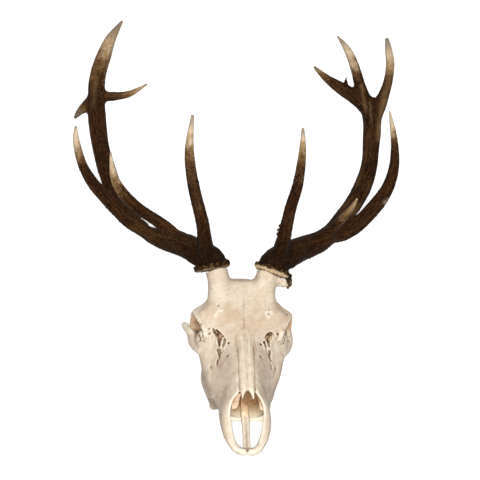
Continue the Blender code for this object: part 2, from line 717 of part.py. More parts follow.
def frontal_region(side, sign, gap):
    """Body that parts a frontal bone from the rest, wider all round by the gap."""
    low, high = side_span(sign, GAP / 2, BEYOND)
    region = prism("region", grown(FRONTAL_CUT, gap), low - gap, high + gap)
    if side == "right":
        low, high = side_span(sign, FREE_BAR_NEAR, BEYOND)
        bar = prism("bar", grown(FREE_BAR_CUT, gap), low - gap, high + gap)
        combine(region, [bar], "UNION")
        drop([bar])
    return region


def clear_for_antlers(head):
    """Cuts the head off below each burr and round the knob of the left one."""
    clearings = []
    for side in SIDES:
        centre, axis = ANTLERS[side]["burr"]
        clearings.append(rod_along("above", centre, axis, BURR_LOW - GAP, CLEAR_LENGTH, CLEAR_RADIUS))
    clearings.append(knob("wide_knob", 2 * GAP))
    combine(head, clearings, "DIFFERENCE")
    drop(clearings)


def head_nodes(head):
    """The bones of the head, each cut from what the bones before it have left."""
    clear_for_antlers(head)
    nodes = []
    for side, sign in SIDES.items():
        x, u, h = PEDICLE_FOOT
        foot = level(sign * x, u, h)
        x, u, h = PEDICLE_AIM
        axis = level(sign * x, u, h) - foot
        region = rod_along("region", foot, axis, 0.0, PEDICLE_LENGTH, PEDICLE_RADIUS)
        wide = rod_along("wide_region", foot, axis, -GAP, PEDICLE_LENGTH + GAP, PEDICLE_RADIUS + GAP)
        nodes.append(take(head, "pedicle_" + side, region, wide))
    nodes.append(take_prism(head, "occipital", OCCIPITAL_CUT, -90, 90))
    steps = [
        ("nasal_", NASAL_CUT, GAP / 2, 15.5), ("premaxilla_", PREMAXILLA_CUT, GAP / 2, 70),
        ("frontal_", None, None, None), ("lacrimal_", LACRIMAL_CUT, 30, BEYOND),
        ("zygomatic_", ZYGOMATIC_CUT, 60, BEYOND), ("maxilla_", MAXILLA_CUT, GAP / 2, BEYOND),
    ]
    for bone, outline, near, far in steps:
        for side, sign in SIDES.items():
            if outline:
                node = take_prism(head, bone + side, outline, *side_span(sign, near, far))
            else:
                region = frontal_region(side, sign, 0.0)
                node = take(head, bone + side, region, frontal_region(side, sign, GAP))
            nodes.append(node)
    head.name = "braincase"
    nodes.append(keep_largest(head))
    for node in nodes:
        lean_over(node)
    return nodes


def antler_nodes(side):
    plan = ANTLERS[side]
    centre, axis = plan["burr"]
    whole = tube("beam", plan["beam"], 11, 2)
    tines = [name for name in plan if name.endswith("tine") or name.startswith("crown")]
    arms = [tube(name, plan[name], 8, 2) for name in tines]
    if side == "left":
        arms.append(tube("spike", SPIKE, 7, 2))
        arms.append(tube("web", WEB, 8, 2))
    combine(whole, arms, "UNION", True)
    drop(arms)
    below = rod_along("below", centre, axis, -CLEAR_LENGTH, BURR_HIGH + GAP, CLEAR_RADIUS)
    combine(whole, [below], "DIFFERENCE")
    drop([below])
    whole = tidied(thinned(keep_largest(whole), ANTLER_TRIANGLES))
    plates = []
    marks = {}
    for name in tines:
        count, reach = FORKS.get(name + "_" + side, FORKS[name])
        spot = curve_point(plan[name], count)
        ahead = curve_point(plan[name], count + 0.05)
        way = Vector(ahead[:3]) - Vector(spot[:3])
        plates.append(disc("plate", spot[:3], way, spot[3] * reach, GAP))
        marks[name] = Vector(plan[name][-2][:3])
    spot = curve_point(plan["beam"], UPPER_BEAM)
    ahead = curve_point(plan["beam"], UPPER_BEAM + 0.05)
    way = Vector(ahead[:3]) - Vector(spot[:3])
    plates.append(disc("plate", spot[:3], way, spot[3] * UPPER_BEAM_REACH, GAP))
    marks["beam_lower"] = Vector(plan["beam"][4][:3])
    marks["beam_upper"] = Vector(plan["beam"][10][:3])
    combine(whole, plates, "DIFFERENCE")
    drop(plates)
    nodes = []
    bodies = [mesh for size, mesh in loose_parts(whole)]
    for name, mark in marks.items():
        mesh = min(bodies, key=lambda body: min((v.co - mark).length for v in body.vertices))
        node = bpy.data.objects.new(name + "_" + side, mesh)
        bpy.context.scene.collection.objects.link(node)
        nodes.append(node)
    drop([whole])
    burr = burr_ring("burr_" + side, centre, axis)
    if side == "left":
        lump = knob("knob", 0.0)
        combine(burr, [lump], "UNION", True)
        drop([lump])
    nodes.append(burr)
    return nodes


def paint(obj, colour, rough):
    material = bpy.data.materials.new(obj.name + "_surface")
    material.use_nodes = True
    shader = material.node_tree.nodes["Principled BSDF"]
    shader.inputs["Base Color"].default_value = (*colour, 1.0)
    shader.inputs["Roughness"].default_value = rough
    shader.inputs["Metallic"].default_value = 0.0
    obj.data.materials.clear()
    obj.data.materials.append(material)


def finish(nodes):
    """Flat resting spots, real sizes and smooth shading."""
    floor = block("floor", (-500, -300, -80), (500, 1100, 0))
    for node in nodes:
        if min(v.co.z for v in node.data.vertices) < 0.0:
            combine(node, [floor], "DIFFERENCE")
    drop([floor])
    for node in nodes:
        for vert in node.data.vertices:
            vert.co = (vert.co - Vector((CENTRE_X, CENTRE_Y, 0.0))) * MM
        for face in node.data.polygons:
            face.use_smooth = True
        node.data.set_sharp_from_angle(angle=SHARP_ANGLE)


def main():
    clear_scene()
    bones = head_nodes(head_body())
    for bone in bones:
        paint(bone, BONE, BONE_ROUGH)
    horns = antler_nodes("right") + antler_nodes("left")
    for horn in horns:
        tone = HORN_TIP if "crown" in horn.name else HORN_MID
        paint(horn, HORN_DARK if "beam_lower" in horn.name or "burr" in horn.name else tone, HORN_ROUGH)
    finish(bones + horns)


if __name__ == "__main__":
    main()
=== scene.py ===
import math

import bmesh
import bpy
import numpy as np
from mathutils import Matrix, Vector, kdtree
from mathutils.bvhtree import BVHTree


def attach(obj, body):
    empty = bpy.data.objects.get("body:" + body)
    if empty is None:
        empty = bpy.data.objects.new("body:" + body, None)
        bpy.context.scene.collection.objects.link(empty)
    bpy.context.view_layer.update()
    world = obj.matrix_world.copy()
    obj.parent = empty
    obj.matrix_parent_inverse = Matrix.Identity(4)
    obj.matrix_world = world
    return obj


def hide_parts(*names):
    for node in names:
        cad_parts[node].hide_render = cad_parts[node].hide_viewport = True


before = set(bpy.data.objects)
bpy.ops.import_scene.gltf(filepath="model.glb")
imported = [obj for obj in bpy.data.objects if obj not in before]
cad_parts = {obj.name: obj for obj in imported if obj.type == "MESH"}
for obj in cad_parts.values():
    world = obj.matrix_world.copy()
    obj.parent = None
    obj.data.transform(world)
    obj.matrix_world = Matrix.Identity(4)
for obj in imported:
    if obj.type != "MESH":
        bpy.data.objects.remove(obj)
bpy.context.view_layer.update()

MM = 0.001
# The skull is modelled in a level frame in mm (x to its left, u back from the snout, h up), then tipped
# back and raised into the rest frame (X, Y, Z); CENTRE is where the row frame has its origin there
TIP_BACK = math.radians(56.0)
NECK_LIFT = 323.4
# Sideways shifts of the snout tip, of the bridge of the nose and of the tooth rows
SNOUT_LEAN = 2.4
BRIDGE_LEAN = 1.7
ROW_LEAN = 3.2
CENTRE = np.array((-18.02, 380.22, 0.0))
SIDES = {"right": -1.0, "left": 1.0}
# How far out the pedicles and the brow rims lie on each side
STEM_REACH = {"right": 1.05, "left": 0.96}
RIM_REACH = {"right": 0.99, "left": 1.01}
BURR_RADIUS = 30.0
HEAD_VOXEL = 2.0
SKULL_VOXEL = 1.0
ANTLER_VOXEL = 1.1

# Sections of the face and braincase: u, then half outlines (x, h) from the roof round to the base
HEAD = [
    (80, [(0, 48), (20, 48), (29, 43), (36, 35), (39, 28), (37, 20), (25, 17), (0, 18)]),
    (95, [(0, 72), (12, 72), (21, 65), (31, 53), (39, 37), (40, 25), (30, 15), (0, 18)]),
    (112, [(0, 80), (14, 79), (22, 71), (32, 55), (42, 39), (44, 24), (36, 12), (0, 19)]),
    (132, [(0, 86), (14, 85), (23, 77), (37, 60), (50, 42), (53, 25), (48, 9), (0, 20)]),
    (155, [(0, 91), (14, 90), (25, 82), (42, 66), (60, 46), (60, 27), (54, 8), (0, 22)]),
    (180, [(0, 97), (15, 95), (27, 88), (45, 74), (67, 52), (66, 29), (58, 8), (0, 23)]),
    (205, [(0, 103), (17, 102), (32, 95), (52, 82), (74, 58), (66, 32), (58, 9), (0, 24)]),
    (230, [(0, 112), (22, 111), (42, 106), (63, 94), (80, 66), (66, 36), (56, 13), (0, 25)]),
    (252, [(0, 120), (26, 119), (50, 116), (74, 106), (74, 80), (50, 45), (40, 18), (0, 25)]),
    (268, [(0, 127), (28, 126), (52, 121), (78, 101), (68, 84), (42, 50), (32, 28), (0, 24)]),
    (280, [(0, 132), (28, 131), (50, 124), (66, 106), (54, 84), (42, 54), (30, 26), (0, 20)]),
    (294, [(0, 138), (28, 137), (48, 128), (54, 110), (50, 84), (44, 52), (30, 24), (0, 16)]),
    (306, [(0, 141), (27, 140), (46, 129), (52, 108), (50, 82), (44, 50), (28, 22), (0, 13)]),
    (328, [(0, 129), (25, 127), (42, 116), (50, 96), (51, 74), (46, 46), (28, 19), (0, 11)]),
    (352, [(0, 111), (22, 109), (37, 100), (47, 82), (52, 58), (48, 32), (28, 14), (0, 9)]),
    (374, [(0, 95), (23, 92), (39, 81), (50, 62), (54, 42), (48, 22), (28, 11), (0, 9)]),
    (390, [(0, 82), (19, 79), (34, 68), (46, 52), (49, 38), (38, 22), (22, 12), (0, 10)]),
    (397, [(0, 74), (12, 71), (20, 62), (28, 48), (30, 38), (24, 26), (14, 18), (0, 14)]),
]
# Hollow of the nose: u, then half outlines as above
NOSE = [
    (66, [(0, 120), (22, 118), (26, 80), (28, 56), (27, 44), (25, 32), (16, 25), (0, 23)]),
    (80, [(0, 110), (20, 108), (25, 78), (28, 56), (30, 42), (28, 31), (17, 24), (0, 23)]),
    (93, [(0, 72), (11, 71), (17, 64), (24, 53), (31, 41), (32, 30), (18, 24), (0, 23)]),
    (108, [(0, 75), (10, 74), (17, 66), (25, 54), (33, 41), (33, 30), (18, 24), (0, 24)]),
    (130, [(0, 79), (11, 78), (19, 71), (30, 56), (38, 42), (34, 31), (18, 26), (0, 26)]),
    (160, [(0, 82), (11, 81), (18, 74), (28, 60), (34, 46), (28, 34), (14, 30), (0, 30)]),
    (185, [(0, 76), (9, 75), (14, 70), (20, 60), (22, 50), (18, 42), (9, 39), (0, 39)]),
]
# Burr centre and axis, then axis rows (X, Y, Z, radius) of the beam and the tines
ANTLERS = {
    "right": {
        "burr": ((-56, 310, 150), (-0.22, 0.97, -0.1)),
        "beam": [
            (-50, 296, 152, 20), (-58, 322, 150, 23), (-82, 334, 141, 22), (-102, 344, 128, 21),
            (-139, 353, 100, 18), (-173, 366, 75, 13), (-206, 396, 53, 14.5), (-232, 436, 34, 15.5),
            (-249, 477, 21, 16), (-262, 518, 14.6, 15), (-270, 562, 20, 16), (-274, 607, 36, 16),
            (-272, 645, 55, 14), (-262, 679, 75, 13), (-250, 708, 95, 9), (-231, 737, 113, 2),
        ],
        "brow_tine": [
            (-62, 318, 150, 17), (-69, 340, 168, 14), (-74, 363, 187, 11.5), (-80, 387, 208, 11),
            (-93, 424, 240, 10), (-104, 461, 268, 9), (-111, 504, 295, 7.2), (-109, 556, 316, 2.6),
        ],
        "bez_tine": [
            (-90, 344, 134, 19), (-118, 357, 116, 15), (-150, 383, 121, 10.5), (-187, 405, 138, 10),
            (-216, 430, 157, 9.5), (-233, 459, 174, 6.5), (-240, 499, 190, 1.6),
        ],
        "trez_tine": [
            (-176, 370, 66, 15), (-204, 386, 60, 14.5), (-229, 408, 62, 13), (-252, 430, 75, 11.5),
            (-271, 449, 88, 10), (-290, 479, 104, 8), (-302, 518, 118, 6.2), (-304, 546, 124, 2.2),
        ],
        "crown_inner": [
            (-274, 606, 36, 12), (-258, 610, 42, 10), (-234, 611, 52, 7), (-211, 616, 62, 5.5),
            (-182, 633, 75, 1.5),
        ],
        "crown_back": [
            (-274, 604, 36, 15), (-290, 593, 27, 11.5), (-303, 582, 20, 7), (-313, 570, 16, 2.5),
        ],
    },
    "left": {
        "burr": ((49, 308, 150), (0.3, 0.95, -0.1)),
        "beam": [
            (42, 294, 152, 20), (54, 322, 149, 24), (78, 335, 136, 23), (103, 347, 118, 21),
            (139, 361, 93, 19), (169, 383, 70, 17), (191, 409, 52, 16), (216, 443, 34, 15.5),
            (233, 478, 22, 16), (242, 512, 15, 15), (244, 545, 15, 15), (244, 583, 19, 17),
            (240, 607, 24, 17), (234, 622, 27, 12),
        ],
        "brow_tine": [
            (56, 320, 150, 17), (61, 342, 166, 14), (64, 364, 184, 11.5), (67, 413, 226, 10),
            (74, 455, 258, 8.5), (75, 506, 289, 6.2), (71, 545, 310, 2.4),
        ],
        "bez_tine": [
            (150, 371, 84, 12), (164, 390, 112, 8.5), (176, 408, 140, 7), (185, 424, 163, 4.8),
            (189.5, 440, 185, 1.6),
        ],
        "trez_tine": [
            (160, 374, 76, 15), (183, 379, 66, 15.5), (207, 392, 63, 14.5), (229, 411, 66, 13.5),
            (249, 438, 80, 13), (263, 467, 95, 11), (269, 500, 108, 9), (267, 535, 118, 7),
            (260, 568, 127, 5), (251, 601, 133, 1.8),
        ],
        "crown_inner": [
            (238, 608, 25, 14), (220, 626, 30, 14), (200, 639, 35, 12.5), (180, 648, 40, 11),
            (151, 663, 50, 7.5), (134, 675, 55, 4.6), (122, 684, 60, 2.2),
        ],
        "crown_middle": [
            (240, 604, 24, 15), (224, 634, 31, 13), (213, 655, 41, 10.5), (204, 678, 50, 9),
            (192, 702, 60, 8), (179, 721, 68, 6), (160, 740, 76, 1.5),
        ],
        "crown_outer": [
            (244, 592, 21, 15), (254, 622, 22, 13.5), (263, 645, 22, 10), (269, 668, 24, 8.5),
            (271, 698, 30, 8), (266, 723, 36, 7), (259, 747, 44, 3.5),
        ],
    },
}
# Lengths from the tip, in mm: pale part, the end of the golden part, and the dusky tip; then how pale it gets
PALE = {
    "right": {
        "beam": (72, 150, 44, 0.6), "brow_tine": (48, 116, 24, 0.95), "bez_tine": (44, 104, 8, 0.8),
        "trez_tine": (38, 84, 6, 1.0), "crown_inner": (24, 70, 6, 0.65), "crown_back": (0, 44, 30, 0.0),
    },
    "left": {
        "beam": (0, 0, 0, 0.0), "brow_tine": (30, 92, 18, 1.0), "bez_tine": (26, 84, 0, 0.5),
        "trez_tine": (36, 70, 4, 1.0), "crown_inner": (8, 40, 16, 0.4), "crown_middle": (60, 96, 30, 0.9),
        "crown_outer": (56, 104, 24, 0.8),
    },
}
# Crown spike of the left antler, joined to the inner crown tine
SPIKE = [(189, 646, 39, 8), (186, 657, 43, 4.2), (185.5, 672, 46, 1.4)]
# Web of the outer fork of the left crown
WEB = [(226, 616, 28, 12), (240, 625, 27, 13.5), (254, 619, 24, 12)]
# Plates of one side in the level frame: inner edge, outer edge, thickness
BROW_PLATE = [
    ((48, 288, 120), (62, 286, 110), 7), ((50, 280, 117), (72, 277, 104), 8),
    ((50, 272, 115), (85, 271, 99), 8), ((50, 262, 113), (83, 262, 99), 7),
    ((46, 250, 111), (77, 249, 98), 7), ((42, 239, 107), (71, 238, 95), 7),
    ((38, 230, 102), (64, 229, 92), 7),
]
ORBIT_BAR = [
    ((58, 270, 108), (82, 272, 101), 9), ((64, 272, 99), (89, 273, 93), 8.5),
    ((68, 274, 86), (90, 274, 83), 7.5), ((66, 275, 69), (90.5, 274, 66), 7),
    ((66, 272, 60), (91, 271, 59), 8), ((68, 264, 53), (91, 261, 52), 9),
]
# Snout bones of one side: rim of the nose opening, outer edge, thickness
PREMAXILLA = [
    ((1.5, 19, 15), (2.0, 9.5, 11), 6.5), ((8, 20, 16), (9, 8.5, 10), 7.5),
    ((14, 23, 18), (20, 15.5, 9), 8), ((18, 28, 20), (27, 27, 10), 8),
    ((22.5, 40, 26), (33.5, 40, 12), 7.5), ((25.5, 53, 34), (37.5, 52, 15), 7),
    ((28, 67.5, 43), (40.5, 68, 18), 6.5), ((27, 77.5, 54), (41.5, 80, 20), 6),
    ((22.5, 85, 64), (41.5, 93, 25), 6), ((15, 91, 72), (39, 106, 36), 6),
    ((12, 108, 77), (35, 124, 48), 6),
]
NASAL = [
    ((0.2, 224, 107), (9, 221, 105), 4), ((0.2, 205, 101), (12.5, 203, 98), 5),
    ((0.2, 172, 92.8), (12.4, 170, 90), 5), ((0.2, 140, 85.8), (12.4, 138, 82.6), 5),
    ((0.2, 110, 79.6), (12.2, 110, 76.3), 4.8), ((0.3, 97, 76.2), (12.2, 97, 72.6), 4.5),
    ((2.0, 92, 74.6), (12.0, 91, 71.4), 4.2), ((5.2, 86, 72.4), (11.0, 86, 70.4), 3.8),
    ((7.8, 77.5, 69.6), (10, 78, 69), 2.6),
]
# Lacrimal gap in front of the orbit: rows of (x, u, h, radius)
GAP = [
    (50.5, 226, 91, 2.4), (44.5, 216, 93, 4.6), (40, 205, 91, 7.0), (36.5, 194, 87.5, 8.8),
    (37.5, 184, 80.5, 7.6), (41, 176, 74, 3.6), (44.5, 168, 67.5, 2.0), (47.5, 160, 61.5, 1.4),
]
GAP_SPUR = [(32, 194, 91, 3.0), (26.5, 190, 92, 1.6)]
GAP_DEPTH = 2.0
# Splinters left in the gap: inner edge, outer edge, thickness
SPLINTERS = [
    [
        ((28, 196, 92), (32, 197, 90.5), 2.2), ((31.5, 188, 88), (35.5, 190, 86), 2.6),
        ((33, 180, 82.5), (36.5, 182, 80), 2.0),
    ],
    [
        ((33.5, 206, 93.5), (36.5, 207, 92), 2.0), ((36, 198, 89.5), (40, 199, 87), 2.6),
        ((39, 188, 83), (42.5, 190, 80.5), 1.8),
    ],
    [
        ((37.5, 192, 85), (41.5, 194, 82.5), 1.8), ((36.5, 184, 81), (40, 186, 78.5), 2.2),
        ((38.5, 176, 75.5), (41, 178, 73.5), 1.6),
    ],
    [
        ((46.5, 211, 90), (50, 212, 87), 2.0), ((44.5, 201, 86), (48.5, 202, 82.5), 2.6),
        ((43, 190, 80.5), (46.5, 192, 77.5), 2.0),
    ],
]
# Curled plates in the nose
CURLS = {
    -1.0: [
        ((8, 97, 66), (22, 95, 60), 2.4), ((11, 89, 57), (25, 87, 52), 2.6),
        ((15, 80, 47), (24, 79, 44), 2.4),
    ],
    1.0: [
        ((18, 92, 60), (27, 92, 56), 2.4), ((20, 85, 53), (28, 84, 50), 2.4),
        ((22, 78, 46), (28, 77, 44), 2.0),
    ],
}
ORBIT_FLOOR = [
    ((56, 218, 66), (73, 218, 58), 9), ((60, 230, 63), (80, 230, 55), 8), ((64, 240, 58), (85, 241, 52), 7),
    ((70, 249, 54), (88, 251, 51), 6),
]
# Cheek arch, whole on the left and broken off on the right, where its root stands alone
ARCH = [(69, 208, 60, 9), (78, 226, 54, 9), (85, 244, 52, 8.5), (87, 258, 55, 8)]
ARCH_END = {
    "right": [(93, 262, 62, 7), (98, 262, 70, 6.5), (100.5, 262, 76, 5.5)],
    "left": [(84, 282, 62, 6.5), (76, 300, 64, 6.5), (66, 318, 64, 7), (54, 334, 62, 9)],
}
ARCH_ROOT = [(50, 336, 62, 9), (60, 322, 64, 7), (70, 310, 65, 5), (75, 303, 65, 2.5)]
BROW_RIM = [
    (63, 220, 80, 6), (65, 225, 88, 6), (69, 232, 93, 5), (76, 246, 97, 4.5), (82, 260, 98, 4.5),
    (85, 270, 96, 5),
]
TEAR_LUMP = [(66, 226, 82, 4), (70, 230, 79, 5.5), (74, 233, 74, 4.5), (76, 235, 69, 3)]
PEDICLE_STEM = [
    (34, 282, 104, 26), (37, 294, 122, 23), (41, 306, 141, 20), (46, 316, 155, 20.5), (52, 330, 174, 21),
]
PAROCCIPITAL = [(44, 366, 26, 12), (50, 374, 10, 8), (51, 379, -4, 4.5)]
PTERYGOID = [(20, 236, 22, 4), (22, 252, 14, 3.5), (23, 268, 6, 3)]
PALATE_ROD = [
    (3.4, 9, 13, 3), (3.4, 30, 14.5, 2.9), (3.4, 55, 18, 3.1), (3.2, 75, 22, 3.8), (2.4, 96, 29, 4.4),
]
KEEL = [
    ((-5.5, 84, 27), (5.5, 84, 27), 3), ((-5.5, 110, 38), (5.5, 110, 38), 3),
    ((-4, 150, 50), (4, 150, 50), 3),
]
VOMER = [((0, 82, 20), (0, 84, 30), 3), ((0, 110, 24), (0, 112, 44), 3), ((0, 150, 30), (0, 152, 56), 3)]
# Cheek teeth of one side: u and half the length of the tooth
TEETH = [(130, 6.0), (143, 6.5), (157, 7.0), (174, 9.5), (196, 10.5), (219, 10.5)]
# Round hollows and bosses of one side: centre and radii along x, u and h
HOLLOWS = [
    ("orbit", (84, 251, 82), (41, 22, 20)), ("orbit_depth", (62, 262, 78), (24, 20, 18)),
    ("temple", (68, 304, 84), (17, 22, 40)), ("lacrimal_pit", (77, 203, 74), (12, 14, 9)),
    ("face_hole", (47, 121, 33), (4, 3.5, 3)), ("cheek", (62, 150, 62), (12, 28, 9)),
    ("throat", (10, 268, 22), (11, 32, 14)), ("nape", (30, 408, 62), (16, 12, 14)),
]
BOSSES = [
    ("jugal_web", (77, 254, 52), (12, 16, 8)), ("condyle", (19, 396, 31), (14, 12, 16)),
    ("bulla", (28, 350, 12), (11, 20, 11)),
]
# Points that a smooth curve gets for each row, and the thinnest radius, in mm
LOFT_STEPS = 6
OUTLINE_STEPS = 5
BLADE_STEPS = 8
LINE_STEPS = 10
AXIS_STEPS = 24
LEAST_RADIUS = 0.4
UPWARD = Vector((0.0, 0.0, 1.0))
# Where the bone meets the antler along the axis of the burr, and the discs that cut both off there
BURR_FOOT = -5.0
CUT_RADIUS = 60.0
BONE_CUT = 80.0
ANTLER_CUT = 70.0
# Roughness of broken and knobbly parts: amount, grain and seed
ROUGHNESS = {
    "gap": (2.6, 5.0, 3), "lump": (2.2, 5.0, 40), "splinter": (1.0, 3.5, 50), "curl": (0.8, 4.0, 60),
    "knob": (3.0, 4.0, 70), "bump": (0.8, 3.0, 71),
}
# Places across a plate, from its inner edge to its outer one
BLADE_ACROSS = (0.0, 0.12, 0.3, 0.5, 0.7, 0.88, 1.0)
# Bony lump under the left burr, and the knob of antler beside it: rows of (X, Y, Z, radius)
LUMP = [(54, 299, 147, 9), (65, 293, 147, 11), (72, 286, 146, 10.5), (73.5, 280, 143, 9.5)]
KNOB = [(72, 300, 150, 6), (79, 296, 149, 6), (80.5, 290, 147, 6), (80, 284, 144.5, 5), (78, 279, 142, 3)]


# ---------------------------------------------------------------- solid shapes
def ramp(value, low, high):
    """Eases from 0 at low to 1 at high; low may be the larger number."""
    t = np.clip((value - low) / (high - low), 0.0, 1.0)
    return t * t * (3 - 2 * t)


def bell(distance, width, power=2):
    return np.exp(-(distance / width) ** power)


def lean(u, h):
    """Sideways shift of the skull: snout tip and bridge to the left, tooth rows to the right."""
    tip = SNOUT_LEAN * ramp(u, 112, 70)
    bridge = BRIDGE_LEAN * ramp(u, 70, 112) * ramp(u, 218, 178) * ramp(h, 55, 78)
    return tip + bridge - ROW_LEAN * ramp(u, 96, 125) * ramp(u, 225, 190) * ramp(h, 44, 14)


def level(x, u, h):
    """A point of the level frame in the rest frame."""
    y = u * math.cos(TIP_BACK) + h * math.sin(TIP_BACK)
    z = h * math.cos(TIP_BACK) - u * math.sin(TIP_BACK) + NECK_LIFT
    return Vector((x + lean(u, h), y, z))


def to_level(co):
    """Rest frame points as (x, u, h) rows of the level frame."""
    y = co[:, 1]
    z = co[:, 2] - NECK_LIFT
    c, s = math.cos(TIP_BACK), math.sin(TIP_BACK)
    return np.stack((co[:, 0], y * c - z * s, y * s + z * c), 1)


def curve_point(rows, t):
    """Catmull-Rom point through rows of numbers, t counted in rows."""
    last = len(rows) - 1
    i = min(int(t), last - 1)
    f = t - i
    a, b, c, d = (rows[min(max(k, 0), last)] for k in (i - 1, i, i + 1, i + 2))
    out = []
    for p0, p1, p2, p3 in zip(a, b, c, d):
        slope = (p2 - p0) * f
        bend = (2 * p0 - 5 * p1 + 4 * p2 - p3) * f * f
        twist = (3 * p1 - p0 - 3 * p2 + p3) * f * f * f
        out.append(p1 + 0.5 * (slope + bend + twist))
    return out


def resample(rows, steps):
    count = (len(rows) - 1) * steps
    return [curve_point(rows, k / steps) for k in range(count + 1)]


def link(obj):
    bpy.context.scene.collection.objects.link(obj)
    return obj


def new_object(name, bm):
    bmesh.ops.recalc_face_normals(bm, faces=bm.faces)
    if bm.calc_volume(signed=True) < 0.0:
        bmesh.ops.reverse_faces(bm, faces=bm.faces)
    mesh = bpy.data.meshes.new(name)
    bm.to_mesh(mesh)
    bm.free()
    return link(bpy.data.objects.new(name, mesh))


def skin_rings(name, rings):
    """Closed body through rings of points, with a flat cap at each end."""
    bm = bmesh.new()
    loops = [[bm.verts.new(p) for p in ring] for ring in rings]
    count = len(loops[0])
    for low, high in zip(loops, loops[1:]):
        for k in range(count):
            m = (k + 1) % count
            bm.faces.new((low[k], low[m], high[m], high[k]))
    bm.faces.new(loops[0])
    bm.faces.new(loops[-1])
    return new_object(name, bm)


def loft(name, sections):
    """Two-sided body through half outlines of the level frame."""
    rows = []
    for u, half in sections:
        row = [u]
        for x, h in half:
            row += [x, h]
        rows.append(row)
    rings = []
    for row in resample(rows, LOFT_STEPS):
        half = [(row[k], row[k + 1]) for k in range(1, len(row), 2)]
        loop = resample(half, OUTLINE_STEPS)
        other = [(-x, h) for x, h in reversed(loop[1:-1])]
        rings.append([level(x, row[0], h) for x, h in loop + other])
    return skin_rings(name, rings)


def frames(spots):
    """Direction, side and lift at each point of a path, without twist."""
    last = len(spots) - 1
    along = [(spots[min(k + 1, last)] - spots[max(k - 1, 0)]).normalized() for k in range(last + 1)]
    side = along[0].cross(UPWARD)
    if side.length < 0.1:
        side = along[0].cross(Vector((1.0, 0.0, 0.0)))
    out = []
    for way in along:
        side = (side - way * side.dot(way)).normalized()
        out.append((way, side, side.cross(way)))
    return out


def tube(name, path, sides=28, steps=8, flat=1.0, to_rest=False, sunk=False):
    """Round or flattened tapering body along rows of (x, y, z, radius)."""
    rows = resample(path, steps)
    spots = [level(*row[:3]) if to_rest else Vector(row[:3]) for row in rows]
    if sunk:
        spots = [spot - Vector((0.0, 0.0, row[3] * flat * 0.5)) for row, spot in zip(rows, spots)]
    rings = []
    for row, spot, (way, side, lift) in zip(rows, spots, frames(spots)):
        radius = max(row[3], LEAST_RADIUS)
        ring = []
        for m in range(sides):
            turn = 2 * math.pi * m / sides
            ring.append(spot + side * (radius * math.cos(turn)) + lift * (radius * flat * math.sin(turn)))
        rings.append(ring)
    return skin_rings(name, rings)


def blade(name, rows, sign, bulge=0.0):
    """Plate of the level frame through rows of inner edge, outer edge and thickness."""
    flat_rows = [(*inner, *outer, thick) for inner, outer, thick in rows]
    spots = []
    for row in resample(flat_rows, BLADE_STEPS):
        inner = level(sign * row[0], row[1], row[2])
        outer = level(sign * row[3], row[4], row[5])
        spots.append((inner, outer, row[6] / 2))
    rings = []
    for k, (inner, outer, half) in enumerate(spots):
        ahead = spots[min(k + 1, len(spots) - 1)]
        behind = spots[max(k - 1, 0)]
        run = (ahead[0] + ahead[1]) - (behind[0] + behind[1])
        lift = run.cross(outer - inner).normalized()
        if lift.z < 0.0:
            lift = -lift
        top, bottom = [], []
        for share in BLADE_ACROSS:
            spot = inner.lerp(outer, share)
            rise = 1 - (2 * share - 1) ** 2
            depth = half * (0.55 + 0.45 * rise)
            top.append(spot + lift * (depth + bulge * rise))
            bottom.append(spot - lift * depth)
        rings.append(top + bottom[::-1])
    return skin_rings(name, rings)


def egg(name, centre, radii, divisions=4):
    """Ellipsoid of the level frame; radii run along x, u and h."""
    bm = bmesh.new()
    bmesh.ops.create_icosphere(bm, subdivisions=divisions, radius=1.0)
    for v in bm.verts:
        spot = [c + r * q for c, r, q in zip(centre, radii, v.co)]
        v.co = level(*spot)
    return new_object(name, bm)


def disc(name, centre, axis, radius, thickness):
    """Round plate across an axis of the rest frame."""
    bm = bmesh.new()
    bmesh.ops.create_cone(bm, cap_ends=True, segments=48, radius1=radius, radius2=radius, depth=thickness)
    turn = UPWARD.rotation_difference(Vector(axis).normalized()).to_matrix()
    for v in bm.verts:
        v.co = turn @ v.co + Vector(centre)
    return new_object(name, bm)


def applied(obj):
    """Bakes the modifiers of an object into its mesh."""
    graph = bpy.context.evaluated_depsgraph_get()
    mesh = bpy.data.meshes.new_from_object(obj.evaluated_get(graph))
    obj.modifiers.clear()
    obj.data = mesh
    return obj


def joined(name, objects):
    bm = bmesh.new()
    for obj in objects:
        bm.from_mesh(obj.data)
        bpy.data.objects.remove(obj)
    mesh = bpy.data.meshes.new(name)
    bm.to_mesh(mesh)
    bm.free()
    return link(bpy.data.objects.new(name, mesh))


def fused(obj, voxel):
    remesh = obj.modifiers.new("fuse", "REMESH")
    remesh.mode = "VOXEL"
    remesh.voxel_size = voxel
    return applied(obj)


def carve(obj, cutters):
    for cutter in cutters:
        step = obj.modifiers.new("cut", "BOOLEAN")
        step.operation = "DIFFERENCE"
        step.solver = "MANIFOLD"
        step.object = cutter
        applied(obj)
    for cutter in cutters:
        bpy.data.objects.remove(cutter)
    return obj


# ---------------------------------------------------------------- vertex work
def numbers(items, key, width, kind=np.float32):
    out = np.empty(len(items) * width, kind)
    items.foreach_get(key, out)
    return out.reshape(-1, width)


def points_of(obj):
    return numbers(obj.data.vertices, "co", 3).astype(np.float64)


def normals_of(obj):
    return numbers(obj.data.vertex_normals, "vector", 3).astype(np.float64)


def edges_of(obj):
    return numbers(obj.data.edges, "vertices", 2, np.int32)


def put_points(obj, co):
    obj.data.vertices.foreach_set("co", co.astype(np.float32).ravel())
    obj.data.update()


